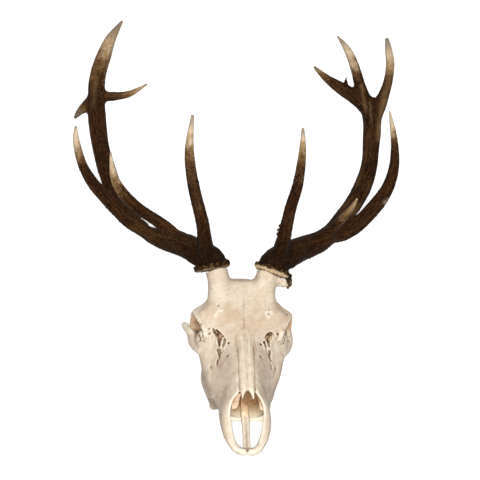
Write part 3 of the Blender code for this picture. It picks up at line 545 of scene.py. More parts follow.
def eased(co, edges, weight, rounds):
    """Smooths points by their neighbours, by a weight for each point."""
    live = weight > 0.002
    a, b = edges[:, 0], edges[:, 1]
    touch = live[a] | live[b]
    near = live.copy()
    near[a[touch]] = near[b[touch]] = True
    place = np.cumsum(near) - 1
    count = int(near.sum())
    a, b = place[a[touch]], place[b[touch]]
    part = co[near]
    step = (weight[near] * live[near])[:, None]
    links = np.bincount(a, minlength=count) + np.bincount(b, minlength=count)
    links = np.maximum(links, 1)[:, None]
    for _ in range(rounds):
        total = [np.bincount(a, row[b], count) + np.bincount(b, row[a], count) for row in part.T]
        part = part + (np.stack(total, 1) / links - part) * step
    out = co.copy()
    out[near] = part
    return out


def hollowness(co, normals, edges, rounds, scale):
    """Depth of each point under its eased surroundings, from 0 on a crest to 1 in a hollow."""
    wide = eased(co, edges, np.full(len(co), 0.9), rounds)
    return wide, np.clip(((wide - co) * normals).sum(1) / scale, -1, 1) * 0.5 + 0.5


def scatter(cell, seed):
    """Repeatable random number from 0 to 1 for rows of whole numbers."""
    n = np.uint32(seed * 97 + 13)
    for k, prime in enumerate((374761393, 668265263, 2246822519)):
        n = n + cell[:, k].astype(np.uint32) * np.uint32(prime)
    n = (n ^ (n >> np.uint32(13))) * np.uint32(1274126177)
    n = (n ^ (n >> np.uint32(16))) * np.uint32(2654435769)
    n ^= n >> np.uint32(15)
    return n.astype(np.float64) / 2.0 ** 32


def noise(points, seed):
    """Smooth noise from -1 to 1 at rows of points, one cell a unit."""
    cell = np.floor(points).astype(np.int64)
    f = points - cell
    near = f * f * (3 - 2 * f)
    total = np.zeros(len(points))
    for corner in np.ndindex(2, 2, 2):
        share = np.where(corner, near, 1 - near).prod(1)
        total += share * scatter(cell + np.array(corner), seed)
    return total * 2 - 1


def jitter(points, size, seed):
    """Three noises at rows of points, as rows of a shift."""
    return np.stack([noise(points / size, seed + k) for k in range(3)], 1)


def layers(points, octaves, seed):
    """Noises laid over each other, each half as large and twice as fine as the one before."""
    total = np.zeros(len(points))
    size = 1.0
    for k in range(octaves):
        total += size * noise(points * 2.0 ** k + 7.3 * k, seed + k)
        size *= 0.5
    return total


def polyline_distance(points, line):
    """Distance of points to a curve through rows, and the place along it from 0 to 1."""
    spots = np.array(resample(line, LINE_STEPS), float)
    best = np.full(len(points), 1e9)
    place = np.zeros(len(points))
    for k in range(len(spots) - 1):
        a, run = spots[k], spots[k + 1] - spots[k]
        t = np.clip(((points - a) @ run) / max(run @ run, 1e-9), 0, 1)
        d = np.linalg.norm(points - a - t[:, None] * run, axis=1)
        near = d < best
        best[near] = d[near]
        place[near] = (k + t[near]) / (len(spots) - 1)
    return best, place


def store(obj, name, values):
    """Keeps one number, or one vector, for each point of a mesh."""
    values = np.asarray(values, np.float32)
    kind, key = ("FLOAT", "value") if values.ndim == 1 else ("FLOAT_VECTOR", "vector")
    obj.data.attributes.new(name, kind, "POINT").data.foreach_set(key, values.ravel())


# ---------------------------------------------------------------- skull
def ragged(obj, kind, more=0):
    """Roughens the points of a body, with more added to the seed of its kind."""
    amount, grain, seed = ROUGHNESS[kind]
    co = points_of(obj)
    put_points(obj, co + jitter(co, grain, seed + more) * amount)
    return obj


def sided(rows, reach):
    """Rows of one side, with x times its reach."""
    return [(reach * row[0], *row[1:]) for row in rows]


def head_cutters():
    cuts = [loft("nose", NOSE)]
    for sign in SIDES.values():
        for name, centre, radii in HOLLOWS[:3]:
            cuts.append(egg(name, *sided([centre], sign), radii))
        cutter = tube("lacrimal_gap", sided(GAP, sign), 28, 14, GAP_DEPTH, to_rest=True, sunk=True)
        cuts.append(ragged(cutter, "gap"))
        cuts.append(tube("gap_spur", sided(GAP_SPUR, sign), 20, 8, GAP_DEPTH, to_rest=True, sunk=True))
        for name, centre, radii in HOLLOWS[3:]:
            cuts.append(egg(name, *sided([centre], sign), radii))
    cuts += [egg("pit", (x, u, h - 2), (r, r * 0.8, 8)) for x, u, h, r in PITS]
    cuts.append(egg("palate", (0, 175, 4), (38, 75, 17)))
    cuts.append(egg("spine_hole", (0, 404, 36), (10, 24, 12)))
    return cuts


def side_parts(side, sign):
    """Plates, bars and bosses on one side of the head, with the splinters in its gap and its nose."""
    parts = []

    def bar(name, rows, reach=sign, **more):
        parts.append(tube(name, sided(rows, reach), to_rest=True, **more))

    parts.append(blade("premaxilla", PREMAXILLA, sign, bulge=2.6))
    parts.append(blade("nasal", NASAL, sign, bulge=1.5))
    if side == "right":
        bar("arch_root", ARCH_ROOT, flat=0.7)
    bar("arch", ARCH + ARCH_END[side], flat=0.7)
    rim = RIM_REACH[side] * sign
    for name, rows in (("brow_plate", BROW_PLATE), ("orbit_bar", ORBIT_BAR), ("orbit_floor", ORBIT_FLOOR)):
        parts.append(blade(name, rows, rim))
    bar("brow_rim", BROW_RIM, rim)
    bar("tear_lump", TEAR_LUMP, rim)
    bar("pedicle_stem", PEDICLE_STEM, STEM_REACH[side] * sign, sides=48)
    if side == "left":
        parts.append(ragged(tube("lump", LUMP), "lump"))
    for name, centre, radii in BOSSES:
        parts.append(egg(name, *sided([centre], sign), radii))
    bar("paroccipital", PAROCCIPITAL, flat=0.6)
    bar("pterygoid", PTERYGOID)
    bar("palate_rod", PALATE_ROD)
    for k, rows in enumerate(SPLINTERS):
        parts.append(ragged(blade("splinter", rows, sign), "splinter", k))
    parts.append(ragged(blade("curl", CURLS[sign], sign), "curl"))
    for u, half in TEETH:
        x = 43 + 7 * math.sin((u - 120) / 130 * math.pi / 1.6)
        for hump in (-0.5, 0.5):
            parts.append(egg("tooth", (sign * x, u + hump * half, 10), (8.5, half * 0.62, 12), 3))
    return parts


def skull_body():
    head = fused(loft("head", HEAD), HEAD_VOXEL)
    uncut = BVHTree.FromObject(head, bpy.context.evaluated_depsgraph_get())
    carve(head, head_cutters())
    parts = [head]
    for side, sign in SIDES.items():
        parts += side_parts(side, sign)
    parts.append(blade("keel", KEEL, 1.0))
    parts.append(blade("vomer", VOMER, 1.0))
    whole = fused(joined("skull", parts), SKULL_VOXEL)
    ends = []
    for side in SIDES:
        centre, axis = ANTLERS[side]["burr"]
        middle = Vector(centre) + Vector(axis).normalized() * (BURR_FOOT + BONE_CUT / 2)
        ends.append(disc("above", middle, axis, CUT_RADIUS, BONE_CUT))
    return carve(whole, ends), uncut


# Small holes of the brow and cheek: rows of (x, u, h, radius)
PITS = [
    (-44, 259, 120, 1.9), (44.6, 254.5, 118, 1.5), (44.4, 248, 115, 2.0), (78.5, 261, 104, 1.8),
    (-30, 171, 82, 2.0), (27.4, 168.5, 84, 2.0), (-36, 178, 86, 1.4),
]
# Warmer bone on both sides, and on one side only
WARM = [
    (58, 266, 112, 13), (36, 318, 166, 13), (46, 330, 172, 12), (30, 232, 112, 18), (12, 236, 114, 16),
    (66, 246, 104, 12), (20, 246, 117, 14), (0, 226, 112, 16), (44, 322, 160, 18),
]
WARM_ONE_SIDE = [
    (86, 262, 92, 12), (88, 256, 70, 12), (86, 258, 82, 12), (0, 216, 108, 20), (-58, 252, 110, 15),
]
# Crusty tooth row corner and snout tip, and the weathered end of the broken arch
CRUST = [(-50, 118, 19, 11), (-44, 110, 20, 8), (-56, 127, 18, 7), (-15, 5, 13, 6), (11, 3, 13, 4)]
BROKEN_TIP = [(-99, 262, 71, 13)]
# Whitish bone beside the holes of the brow
BLANCHED = [
    (-38.5, 248, 116, 3.0), (-42.5, 248.5, 115.5, 2.6), (-46.5, 246.5, 113.5, 2.8),
    (-48.7, 242.5, 111, 3.6), (44.2, 252, 117, 4.0), (40.5, 247, 115.5, 3.6), (48, 248, 114.5, 3.6),
    (43, 241.5, 112, 4.2),
]
# Painted shade of creases at the ends of the brow and the root of the cheek arch, as brown spots
CREVICE_SHADES = [
    (-73.2, 219.6, 73, 2.6), (-74.2, 228.2, 77.7, 3.0), (-72.1, 234.5, 97.4, 2.2),
    (-67.5, 214.7, 75.7, 2.2), (-75.1, 259.4, 59.3, 6.0), (70.8, 229.5, 96.1, 2.4),
    (73.2, 225.3, 81.4, 3.0), (72.4, 219.7, 73.7, 2.4), (82.3, 243.5, 59.1, 3.0),
]
# Zones of the skull: limits along x, u and h, as pairs of where it is 0 and where it is 1
ZONES = {
    "roof": ((78, 66), (200, 225), (92, 104)), "flare": ((), (262, 276, 345, 330), (108, 120, 170, 158)),
    "snout": ((14.5, 18), (94, 104, 150, 135), (26, 34)), "face": ((15, 19), (120, 140, 222, 205), (34, 40)),
    "crest": ((58, 64), (212, 224, 284, 276), (86, 94)), "bridge": ((), (96, 112, 206, 188), ()),
    "waist": ((), (140, 160, 200, 182), ()), "nose": ((36, 30), (66, 76, 204, 196), (79, 76)),
    "sill": ((5.5, 7.5, 33, 29), (60, 64), (33, 27)), "gap": ((62, 56), (150, 156), ()),
    "teeth": ((28, 32), (118, 122, 238, 232), (12, 6)), "socket": ((34, 42), (222, 232, 294, 286), ()),
    "ahead": ((58, 66), (258, 264, 286, 280), (100, 94)),
    "recess_shade": ((50, 58, 86, 76), (240, 250, 288, 282), (88, 66)),
    "cheek": ((12, 34, 60, 42), (96, 130, 222, 165), ()), "low": ((), (98, 118, 215, 170), (62, 30)),
    "shaded": ((), (140, 170, 212, 186), (78, 84)), "nasal_edge": ((), (90, 94, 195, 165), (66, 72)),
}
# Zones that are eased, with the strength and the rounds of easing
EASINGS = [("roof", 0.6, 8), ("flare", 0.8, 50), ("snout", 0.7, 20), ("face", 0.6, 10), ("crest", 0.7, 10)]
# Rough patches: torn brow ends and cheek, and the crumbled corner of the right tooth row
TORN = [(70, 230, 78, 12), (60, 224, 84, 10), (62, 226, 70, 9), (72, 240, 90, 8), (78, 256, 56, 9)]
CRUMBLED = [(-50, 118, 20, 12), (-44, 110, 22, 8), (-56, 128, 20, 8)]
LUMP_MIDDLE = (70.0, 288.0, 141.0)
# Fine lines of both sides in the level frame: points, width, depth and waviness
MIDLINE = [(0, 300, 140), (0, 270, 127), (0, 245, 118), (0, 216, 107)]
ROD_SPLIT = [(0, 66, 24), (0, 40, 19), (0, 8, 16)]
NASAL_SIDE = [(13.8, 180, 95.5), (13.6, 150, 89.3), (13.4, 132, 85.3), (13.2, 118, 81.3), (13, 96, 74)]
NASAL_TOP = [(1.5, 217, 107), (12, 206, 102), (17, 188, 96), (13, 176, 94)]
BRIDGE_SEAM = [(0, 200, 101), (0, 94, 76)]
TEAR_LINE = [(66, 213, 77), (72, 218.5, 74), (74.5, 228, 78), (73, 234.5, 96)]
CREASES = [
    (MIDLINE, 0.9, 0.5, 0.9), ([(0, 216, 107), (0, 160, 93), (0, 92, 76)], 0.8, 0.35, 0.5),
    (NASAL_TOP, 1.0, 0.35, 1.0), (ROD_SPLIT, 0.9, 0.9, 0.3), (NASAL_SIDE, 1.3, 0.7, 0.4),
    (TEAR_LINE, 1.8, 1.0, 1.2), ([(54.5, 217, 88), (54.8, 187, 70), (54.5, 165, 56)], 1.6, 0.4, 0.8),
]
# Seams of the bones: points, width, strength, waviness and its seed
SEAMS = [
    (MIDLINE, 1.1, 0.8, 0.8, 4), (NASAL_TOP, 1.2, 0.3, 0.9, 6), (BRIDGE_SEAM, 0.8, 0.25, 0.0, 0),
    (ROD_SPLIT, 1.2, 0.8, 0.0, 0), (TEAR_LINE, 1.5, 0.75, 1.4, 14),
]


def mirrored_level(lv):
    """Level frame without the lean, both sides on one."""
    out = lv.copy()
    out[:, 0] = np.abs(lv[:, 0] - lean(lv[:, 1], lv[:, 2]))
    return out


def shaped_skull(obj):
    """Fine shape of the bone: eased joints, sutures, pits and roughness."""
    co = points_of(obj)
    edges = edges_of(obj)
    co = eased(co, edges, np.full(len(co), 0.5), 3)
    both = mirrored_level(to_level(co))
    side, back, high = both.T
    gap, _ = polyline_distance(both, [row[:3] for row in GAP])
    calm = ramp(gap, 8, 15)
    hull = np.interp(back, [row[0] for row in NOSE], [row[1][4][0] for row in NOSE])
    off_rim = ramp(side - hull * ramp(86 - high, 10, 50), -2, 4)
    finer = 2.4
    where = {"roof": calm, "flare": 1.0, "snout": off_rim, "face": calm, "crest": calm}
    for name, strength, rounds in EASINGS:
        co = eased(co, edges, zone(both, name) * where[name] * strength, int(rounds * finer))
    put_points(obj, co)
    normals = normals_of(obj)
    lv = to_level(co)
    both = mirrored_level(lv)
    side = both[:, 0]
    # swollen bridge of the nose, and the troughs on both sides of it
    bridge = zone(both, "bridge") * ramp(high, 66, 72)
    waist = zone(both, "waist")
    trough = bell(side - 15.4, 5.0) * (0.55 + 0.35 * waist)
    co = co + normals * (bridge * (bell(side, 7.0) * (0.4 + 0.9 * waist) - trough))[:, None]
    shift = jitter(both, 3.0, 1)
    for line, width, depth, wave in CREASES:
        far, _ = polyline_distance(both + shift * wave, line)
        co = co - normals * (depth * bell(far, width))[:, None]
    # roughness of dry bone, of the lump under the left burr, and of the patches listed
    grain = layers(lv / 9.0, 3, 5) * 0.2 + layers(lv / 2.2, 2, 9) * 0.07
    grain += layers(lv / np.array((2.6, 16.0, 2.6)), 2, 23) * 0.09
    far = np.linalg.norm(co - np.array(LUMP_MIDDLE), axis=1)
    grain += bell(far, 15.0, 4) * layers(co / 3.4, 3, 15) * 2.6
    grain += spots_near(both, TORN) * layers(lv / 3.6, 3, 19) * 2.0
    grain += spots_near(lv, CRUMBLED) * layers(lv / 4.2, 3, 33) * 1.5
    grain -= spots_near(lv, PITS) * 1.2
    co = co + normals * grain[:, None]
    put_points(obj, co)
    return co, edges


def zone(points, name):
    """Share from 0 to 1 of each point in a zone of the skull."""
    share = np.ones(len(points))
    for values, limits in zip(points.T, ZONES[name]):
        for low, high in zip(limits[::2], limits[1::2]):
            share *= ramp(values, low, high)
    return share


def spots_near(lv, spots, power=2):
    """Patches round rows of (x, u, h, radius), with a sharper edge at a higher power."""
    total = np.zeros(len(lv))
    for *spot, radius in spots:
        far = np.linalg.norm(lv - np.array(spot), axis=1)
        total = np.maximum(total, bell(far, radius, power))
    return total


def depth_below(co, live, uncut):
    """Depth of the chosen points under the uncut surface of the head, 0 outside it."""
    depth = np.zeros(len(co))
    for k in np.nonzero(live)[0]:
        spot, normal, _, gap = uncut.find_nearest(co[k])
        if spot is not None and (Vector(co[k]) - spot).dot(normal) < 0.0:
            depth[k] = gap
    return depth


def plate_distance(points, rows):
    """Distance to the inner edge, middle and outer edge of a thin plate."""
    inner = [row[0] for row in rows]
    outer = [row[1] for row in rows]
    middle = [tuple((np.array(a) + np.array(b)) / 2) for a, b in zip(inner, outer)]
    return np.min([polyline_distance(points, line)[0] for line in (inner, middle, outer)], axis=0)


def skull_marks(obj, co, edges, uncut):
    """Numbers at each point that the bone's material reads."""
    normals = normals_of(obj)
    lv = to_level(co)
    both = mirrored_level(lv)
    side, back, high = both.T
    ways = to_level(co + normals) - lv
    wide, hollow = hollowness(co, normals, edges, 20, 1.6)
    wider = eased(wide, edges, np.full(len(co), 0.9), 50)
    # painted shade in hollows and painted highlight on crests, by how deep each point lies under its eased
    # surroundings
    store(obj, "hollow", hollow)
    # painted shade in broad dells and painted highlight on broad swells
    store(obj, "dell_shading", np.clip(((wider - co) * normals).sum(1) / 5.0, -1, 1) * 0.5 + 0.5)
    depth = depth_below(co, (back > 60) & (back < 292) & (side < 92) & (high > 16), uncut)
    # walls of the nose and its curled plates, browner deeper in as painted shade, and paler towards the front
    # of the palate, near white there as a painted highlight
    inner = ramp(depth, 2.2, 5.0) * zone(both, "nose")
    inner = np.maximum(inner, 0.8 * (depth > 0.8) * (side < 30) * (back > 76) * (back < 101) * (high < 68))
    right = lv[:, 0] < lean(back, high)
    curled = np.where(right, plate_distance(both, CURLS[-1.0]), plate_distance(both, CURLS[1.0]))
    inner = np.maximum(inner * ramp(curled, 2.0, 3.6), 0.7 * ramp(curled, 3.4, 2.2))
    store(obj, "nose_shading", inner)
    along = back + 0.9 * (high - 24)
    # painted highlight: the front of the palate near white
    store(obj, "sill_highlight", ramp(along, 102, 78) * zone(both, "sill"))
    # painted shade, browner further back in the nose
    store(obj, "deep_shade", ramp(along, 88, 120))
    # gaps in front of the eyes: painted shade inside them, a painted highlight on their lit outer wall, and
    # their splinters
    line, _ = polyline_distance(both, [row[:3] for row in GAP])
    gap_shade = ramp(depth, 0.6, 2.0) * ramp(line, 26, 18) * zone(both, "gap")
    apart = np.min([plate_distance(both, rows) for rows in SPLINTERS], axis=0)
    bed = np.interp(back, [row[1] for row in reversed(GAP)], [row[0] for row in reversed(GAP)])
    slope = ramp(side - bed + noise(both / 3.0, 16) * 1.6, -1.5, 3.5) * ramp(back, 176, 186)
    store(obj, "gap_shade", gap_shade)
    store(obj, "splint", ramp(apart, 2.6, 1.2) * gap_shade)
    store(obj, "slope", slope * gap_shade)
    # sockets, brow and cheek: painted shade deep in the eye sockets, in the recess by the orbit bar and on
    # the greyer sides of the snout, and tan on the forward faces of the orbit bar
    store(obj, "teeth", zone(both, "teeth"))
    socket = ramp(depth, 3.0, 8.0) * zone(both, "socket")
    store(obj, "orbit", np.maximum(socket, ramp(-ways[:, 1], 0.1, 0.6) * zone(both, "ahead")))
    # painted shade in the recess by the orbit bar
    store(obj, "recess_shade", zone(both, "recess_shade") * ramp(ways[:, 2] - ways[:, 1], -0.3, 0.5))
    store(obj, "warm", np.maximum(spots_near(both, WARM), spots_near(lv, WARM_ONE_SIDE)))
    # painted shade: greyer sides and lower face of the snout, and outer faces of its tip
    outer = 0.8 * ramp(back, 112, 96) * ramp(high - 0.45 * back, -4, -16)
    side_shade = np.max((zone(both, "cheek"), zone(both, "low"), outer), axis=0)
    store(obj, "side_shade", side_shade * (1 - inner))
    store(obj, "shaded", zone(both, "shaded") * bell(side - 15.0, 4.4))
    store(obj, "tip", spots_near(lv, BROKEN_TIP, 4))
    store(obj, "crust", spots_near(lv, CRUST, 4))
    # painted shade in the small holes of the brow and cheek
    store(obj, "pit", spots_near(lv, PITS, 4))
    # painted shade of creases, as brown spots
    store(obj, "crevice_shade", spots_near(lv + noise(lv / 2.5, 15)[:, None] * 1.4, CREVICE_SHADES, 4))
    store(obj, "pearl", spots_near(lv + noise(lv / 2.5, 12)[:, None] * 0.8, BLANCHED, 4))
    # seams between the bones
    seam = 0.9 * bell(side + noise(both / 4.0, 8) * 0.4 - 13.4, 0.9) * zone(both, "nasal_edge")
    for points, width, strength, wave, seed in SEAMS:
        line, place = polyline_distance(both + noise(both / 3.0, seed)[:, None] * wave, points)
        mark = strength * bell(line, width)
        if points is MIDLINE:
            mark *= ramp(place, 0.2, 0.5)
        if points is ROD_SPLIT:
            mark *= ramp(back, 8, 18)
        seam = np.maximum(seam, mark)
    store(obj, "seam", seam)
    store(obj, "lie", lv * np.array((1.0, 0.1, 1.0)) * MM)
    # painted shade on faces turned away from the light above
    store(obj, "edge", ramp(normals[:, 2], 0.8, 0.1))


# ---------------------------------------------------------------- antlers
# Olive stretches and pale scars of the rest frame: rows of (X, Y, Z, radius)
GILDED = {
    "right": [(-120, 340, 108, 26), (-150, 352, 90, 26), (-180, 368, 66, 20), (-98, 338, 120, 14)],
    "left": [(232, 470, 34, 16), (206, 428, 55, 16)],
}
# Tan ridges: radius, strength and line
STRIPES = {
    "right": [
        (5, 0.6, [(-280, 590, 50), (-276, 640, 68)]), (4, 0.7, [(-226, 612, 58), (-252, 612, 50)]),
        (4, 0.5, [(-107, 470, 280), (-88, 410, 238)]),
    ],
    "left": [
        (7, 0.9, [(270, 690, 40), (266, 653, 36), (261, 626, 34), (257, 600, 34), (258, 560, 32)]),
        (2.4, 0.5, [(233, 636, 44), (238, 579, 37), (239, 519, 34)]),
        (3.5, 0.6, [(214, 655, 52), (218, 640, 44), (227, 609, 42)]),
        (6, 0.9, [(196, 636, 36), (160, 654, 44), (132, 674, 54)]),
    ],
}
# Paler foot of each burr: from where on, and where it is full, as distances from its plane
COLLAR = {"right": (-2.4, -4.4), "left": (1.0, -2.6)}
SCARS = {"right": [(-109, 545, 313, 3)], "left": [(258, 441, 92, 4), (262, 447, 94, 3)]}
# Wide and thin furrows along an antler: size across, size along, seed
FURROWS = ((6.0, 110.0, 21), (2.8, 48.0, 31))
# Burr ring: place along the axis, and share of the radius; then its pearls, and its seeds
BURR_RINGS = ((-5.0, 0.74), (-4.0, 0.9), (-1.5, 0.97), (1.0, 1.0), (3.2, 0.96), (5.0, 0.88), (7.5, 0.8))
BURR_FLAT = 0.9
BURR_SIDES = 96
BURR_PEARLS = 150
BURR_SEED = {"right": 12, "left": 11}
BUMPS = ((55.5, 372, 193), (56, 379, 198), (57, 386, 201))
BEADS = 4200
BEAD_SEED = {"right": 8, "left": 7}


def axis_samples(plan, names):
    """Dense samples of each axis: places, radii, length so far, sides, lifts and directions."""
    found = []
    for name in names:
        rows = resample(plan[name], AXIS_STEPS)
        spots = [Vector(row[:3]) for row in rows]
        kinds = (spots, *zip(*frames(spots)))
        places, ways, sides, lifts = (np.array([tuple(p) for p in kind]) for kind in kinds)
        steps = np.linalg.norm(np.diff(places, axis=0), axis=1)
        length = np.concatenate(([0], np.cumsum(steps)))
        radii = np.array([max(row[3], LEAST_RADIUS) for row in rows])
        found.append((places, radii, length, sides, lifts, ways))
    return found


def nearest_axis(co, sample):
    """For each point: signed distance to the tube, offsets in its frame, length along it."""
    spots, radii, length, sides, lifts, along = sample
    index = np.empty(len(co), np.int64)
    gap = np.empty(len(co))
    block = 20000
    for k in range(0, len(co), block):
        far = np.linalg.norm(co[k:k + block, None, :] - spots[None, :, :], axis=2)
        near = far.argmin(1)
        index[k:k + block] = near
        gap[k:k + block] = far[np.arange(len(near)), near] - radii[near]
    off = co - spots[index]
    a, b, s = ((off * row[index]).sum(1) for row in (sides, lifts, along))
    return gap, a, b, length[index] + s, length[-1], radii[index]


def burr_shape(centre, axis, seed):
    """Knobbly ring at the foot of an antler, with its pearls."""
    axis = Vector(axis).normalized()
    side = axis.cross(UPWARD).normalized()
    lift = side.cross(axis)

    def spot(along, reach, turn):
        across = side * (reach * math.cos(turn))
        up = lift * (reach * BURR_FLAT * math.sin(turn))
        return Vector(centre) + axis * along + across + up

    rng = np.random.default_rng(seed)
    rings = []
    for along, share in BURR_RINGS:
        ring = []
        for k in range(BURR_SIDES):
            turn = 2 * math.pi * k / BURR_SIDES
            knob = 1.0 + 0.045 * math.sin(9 * turn) + 0.03 * math.sin(5 * turn + 1.0)
            knob += 0.015 * math.sin(23 * turn + along)
            ring.append(spot(along, BURR_RADIUS * share * knob, turn))
        rings.append(ring)
    parts = [skin_rings("burr", rings)]
    for _ in range(BURR_PEARLS):
        turn = rng.uniform(0, 2 * math.pi)
        along = rng.uniform(-2.5, 16.0)
        reach = BURR_RADIUS * (0.97 if along < 5 else 0.80) * rng.uniform(0.94, 1.02)
        bm = bmesh.new()
        bmesh.ops.create_icosphere(bm, subdivisions=2, radius=rng.uniform(1.6, 3.4))
        bmesh.ops.translate(bm, verts=bm.verts, vec=spot(along, reach, turn))
        parts.append(new_object("pearl", bm))
    return parts


def antler_body(side):
    plan = ANTLERS[side]
    names = [name for name in plan if name != "burr"]
    parts = [tube(name, plan[name], 48 if name == "beam" else 32, 10) for name in names]
    centre, axis = plan["burr"]
    if side == "left":
        parts.append(tube("spike", SPIKE, 24, 6))
        parts.append(tube("web", WEB, 24, 6))
        parts.append(ragged(tube("knob", KNOB), "knob"))
        for x, y, z in BUMPS:
            parts.append(ragged(tube("bump", [(x, y, z, 3.5), (x - 5, y, z + 3, 2.0)]), "bump"))
    parts += burr_shape(centre, axis, BURR_SEED[side])
    whole = fused(joined("antler_" + side, parts), ANTLER_VOXEL)
    middle = Vector(centre) + Vector(axis).normalized() * (BURR_FOOT - ANTLER_CUT / 2)
    cutter = disc("below", middle, axis, CUT_RADIUS, ANTLER_CUT)
    if side == "left":
        carve(cutter, [disc("keep", (82, 288, 146), (1.0, -0.4, 0.0), 18.0, 14.0)])
    carve(whole, [cutter])
    return whole, names


def furrow(points, seed):
    return 1 - 2 * np.abs(noise(points, seed))


def shaped_antler(obj, side, names):
    """Fine shape of one antler: eased forks, furrows, pearls, and the numbers that its material reads."""
    plan = ANTLERS[side]
    edges = edges_of(obj)
    co = points_of(obj)
    count = len(co)
    co = eased(co, edges, np.full(count, 0.5), 2)
    found = [nearest_axis(co, sample) for sample in axis_samples(plan, names)]
    gap = np.stack([row[0] for row in found], 1)
    order = np.sort(gap, axis=1)
    centre, axis = plan["burr"]
    from_burr = (co - np.array(centre)) @ (np.array(axis) / np.linalg.norm(axis))
    fork = ramp(order[:, 1] - order[:, 0], 18, 3) * ramp(from_burr, 7, 13)
    if side == "left":
        fork *= 1 - 0.85 * spots_near(co, [(*SPIKE[1][:3], 17), (*SPIKE[2][:3], 14)], 4)
    co = eased(co, edges, fork * 0.8, 100)
    put_points(obj, co)
    normals = normals_of(obj)
    weight = np.exp(-(gap - order[:, :1]) / 3.0)
    weight /= weight.sum(1)[:, None]
    own = weight.argmax(1)
    relief, streak, gold, ivory, dusk = np.zeros((5, count))
    lie = np.zeros((count, 3))
    rough = noise(co / 9.0, 14)
    for k, (_, a, b, s, full, radius) in enumerate(found):
        left = full - s
        mine = own == k
        pale, golden, tip, paleness = PALE[side][names[k]]
        own_ivory = own_gold = np.zeros(count)
        if golden:
            blur = 0.18 * golden * rough
            own_ivory = paleness * ramp(left + blur * 0.6, pale * 1.5 + 4, pale * 0.35)
            own_gold = ramp(left + blur, golden * 1.2 + 1, pale * 0.5)
        if tip:
            dusk[mine] = ramp(left, tip * 1.1, tip * 0.3)[mine]
        wander = noise(np.stack((a / 18, b / 18, s / 40), 1), 3) * 2.2
        wide, thin = (
            furrow(np.stack(((a + wander) / across, (b - wander) / across, s / along), 1), seed + k)
            for across, along, seed in FURROWS
        )
        calm = 1 - 0.9 * np.maximum(own_ivory, own_gold * 0.8)
        small = np.clip(radius / 14.0, 0.25, 1.0)
        relief += weight[:, k] * calm * small * (wide * 0.8 + thin * 0.45)
        streak += weight[:, k] * (wide * 0.45 + thin * 0.55)
        gold += weight[:, k] * own_gold
        ivory += weight[:, k] * own_ivory
        lie[mine] = np.stack((a, b, s * 0.07 + 40.0 * k), 1)[mine]
    knobbly = layers(co / 4.2, 3, 44) * ramp(from_burr, 40, 6) * 0.9
    co = co + normals * (relief + knobbly)[:, None]
    lift = bead_lift(co, np.maximum(gold, ivory), from_burr, BEAD_SEED[side])
    co = co + normals * lift[:, None]
    put_points(obj, co)
    stripe = np.zeros(count)
    astray = co + noise(co / 6.0, 61)[:, None] * 1.5
    for radius, strength, line in STRIPES[side]:
        far, _ = polyline_distance(astray, line)
        stripe = np.maximum(stripe, bell(far, radius) * strength)
    collar = ramp(from_burr + noise(co / 4.0, 62) * 1.2, *COLLAR[side])
    if side == "left":
        collar *= 1 - spots_near(co, [(*row[:3], row[3] * 1.8) for row in KNOB], 6)
    else:
        collar *= 0.4
    # painted shade in hollows, and painted highlight on the crests of the burr
    _, hollow = hollowness(co, normals_of(obj), edges, 8, 1.2)
    marks = {
        # painted shade on faces turned away from the light above
        "edge": ramp(normals[:, 2], 0.75, 0.05), "bead": np.clip(lift / 0.8, 0, 1), "ivory": ivory,
        "gold": gold, "dusk": dusk, "streak": np.clip(streak * 0.5 + 0.5, 0, 1), "lie": lie * MM,
        "base": ramp(from_burr, 120, 5), "burr": ramp(from_burr, 9, 2), "olive": spots_near(co, GILDED[side]),
        "stripe": stripe, "collar": collar, "scar": spots_near(co, SCARS[side]), "hollow": hollow,
    }
    for name, values in marks.items():
        store(obj, name, values)


def bead_lift(co, bare, from_burr, seed):
    """Height of small round beads over the lower beam and the tine bases."""
    rng = np.random.default_rng(seed)
    tree = kdtree.KDTree(len(co))
    for k, p in enumerate(co):
        tree.insert(p, k)
    tree.balance()
    lift = np.zeros(len(co))
    chance = np.clip(1.1 - from_burr / 260.0, 0.08, 1.0) * ramp(bare, 0.6, 0.1)
    for k in rng.choice(len(co), BEADS, replace=False):
        if rng.random() > chance[k]:
            continue
        size = rng.uniform(1.2, 2.5)
        high = rng.uniform(0.3, 0.9) * size * 0.5
        for _, j, far in tree.find_range(co[k], size * 1.4):
            lift[j] = max(lift[j], high * math.exp(-(far / (size * 0.62)) ** 2))
    return lift


# ---------------------------------------------------------------- materials
# Noises of each material: scale, detail, roughness, and whether they run along the fibres
BONE_NOISES = {
    "broad": (14.0, 3.0, 0.55, False), "patch": (45.0, 4.0, 0.6, False), "blotch": (110.0, 4.0, 0.6, False),
    "fine": (420.0, 4.0, 0.65, False), "fibre": (330.0, 4.0, 0.6, True), "grain": (1500.0, 2.0, 0.6, False),
}
ANTLER_NOISES = {
    "broad": (18.0, 3.0, 0.55, False), "blotch": (90.0, 4.0, 0.6, False), "fine": (300.0, 4.0, 0.65, False),
    "grain": (1100.0, 3.0, 0.6, False), "fibre": (430.0, 4.0, 0.55, True),
    "furrow": (170.0, 3.0, 0.55, True), "speck": (800.0, 3.0, 0.7, True),
}
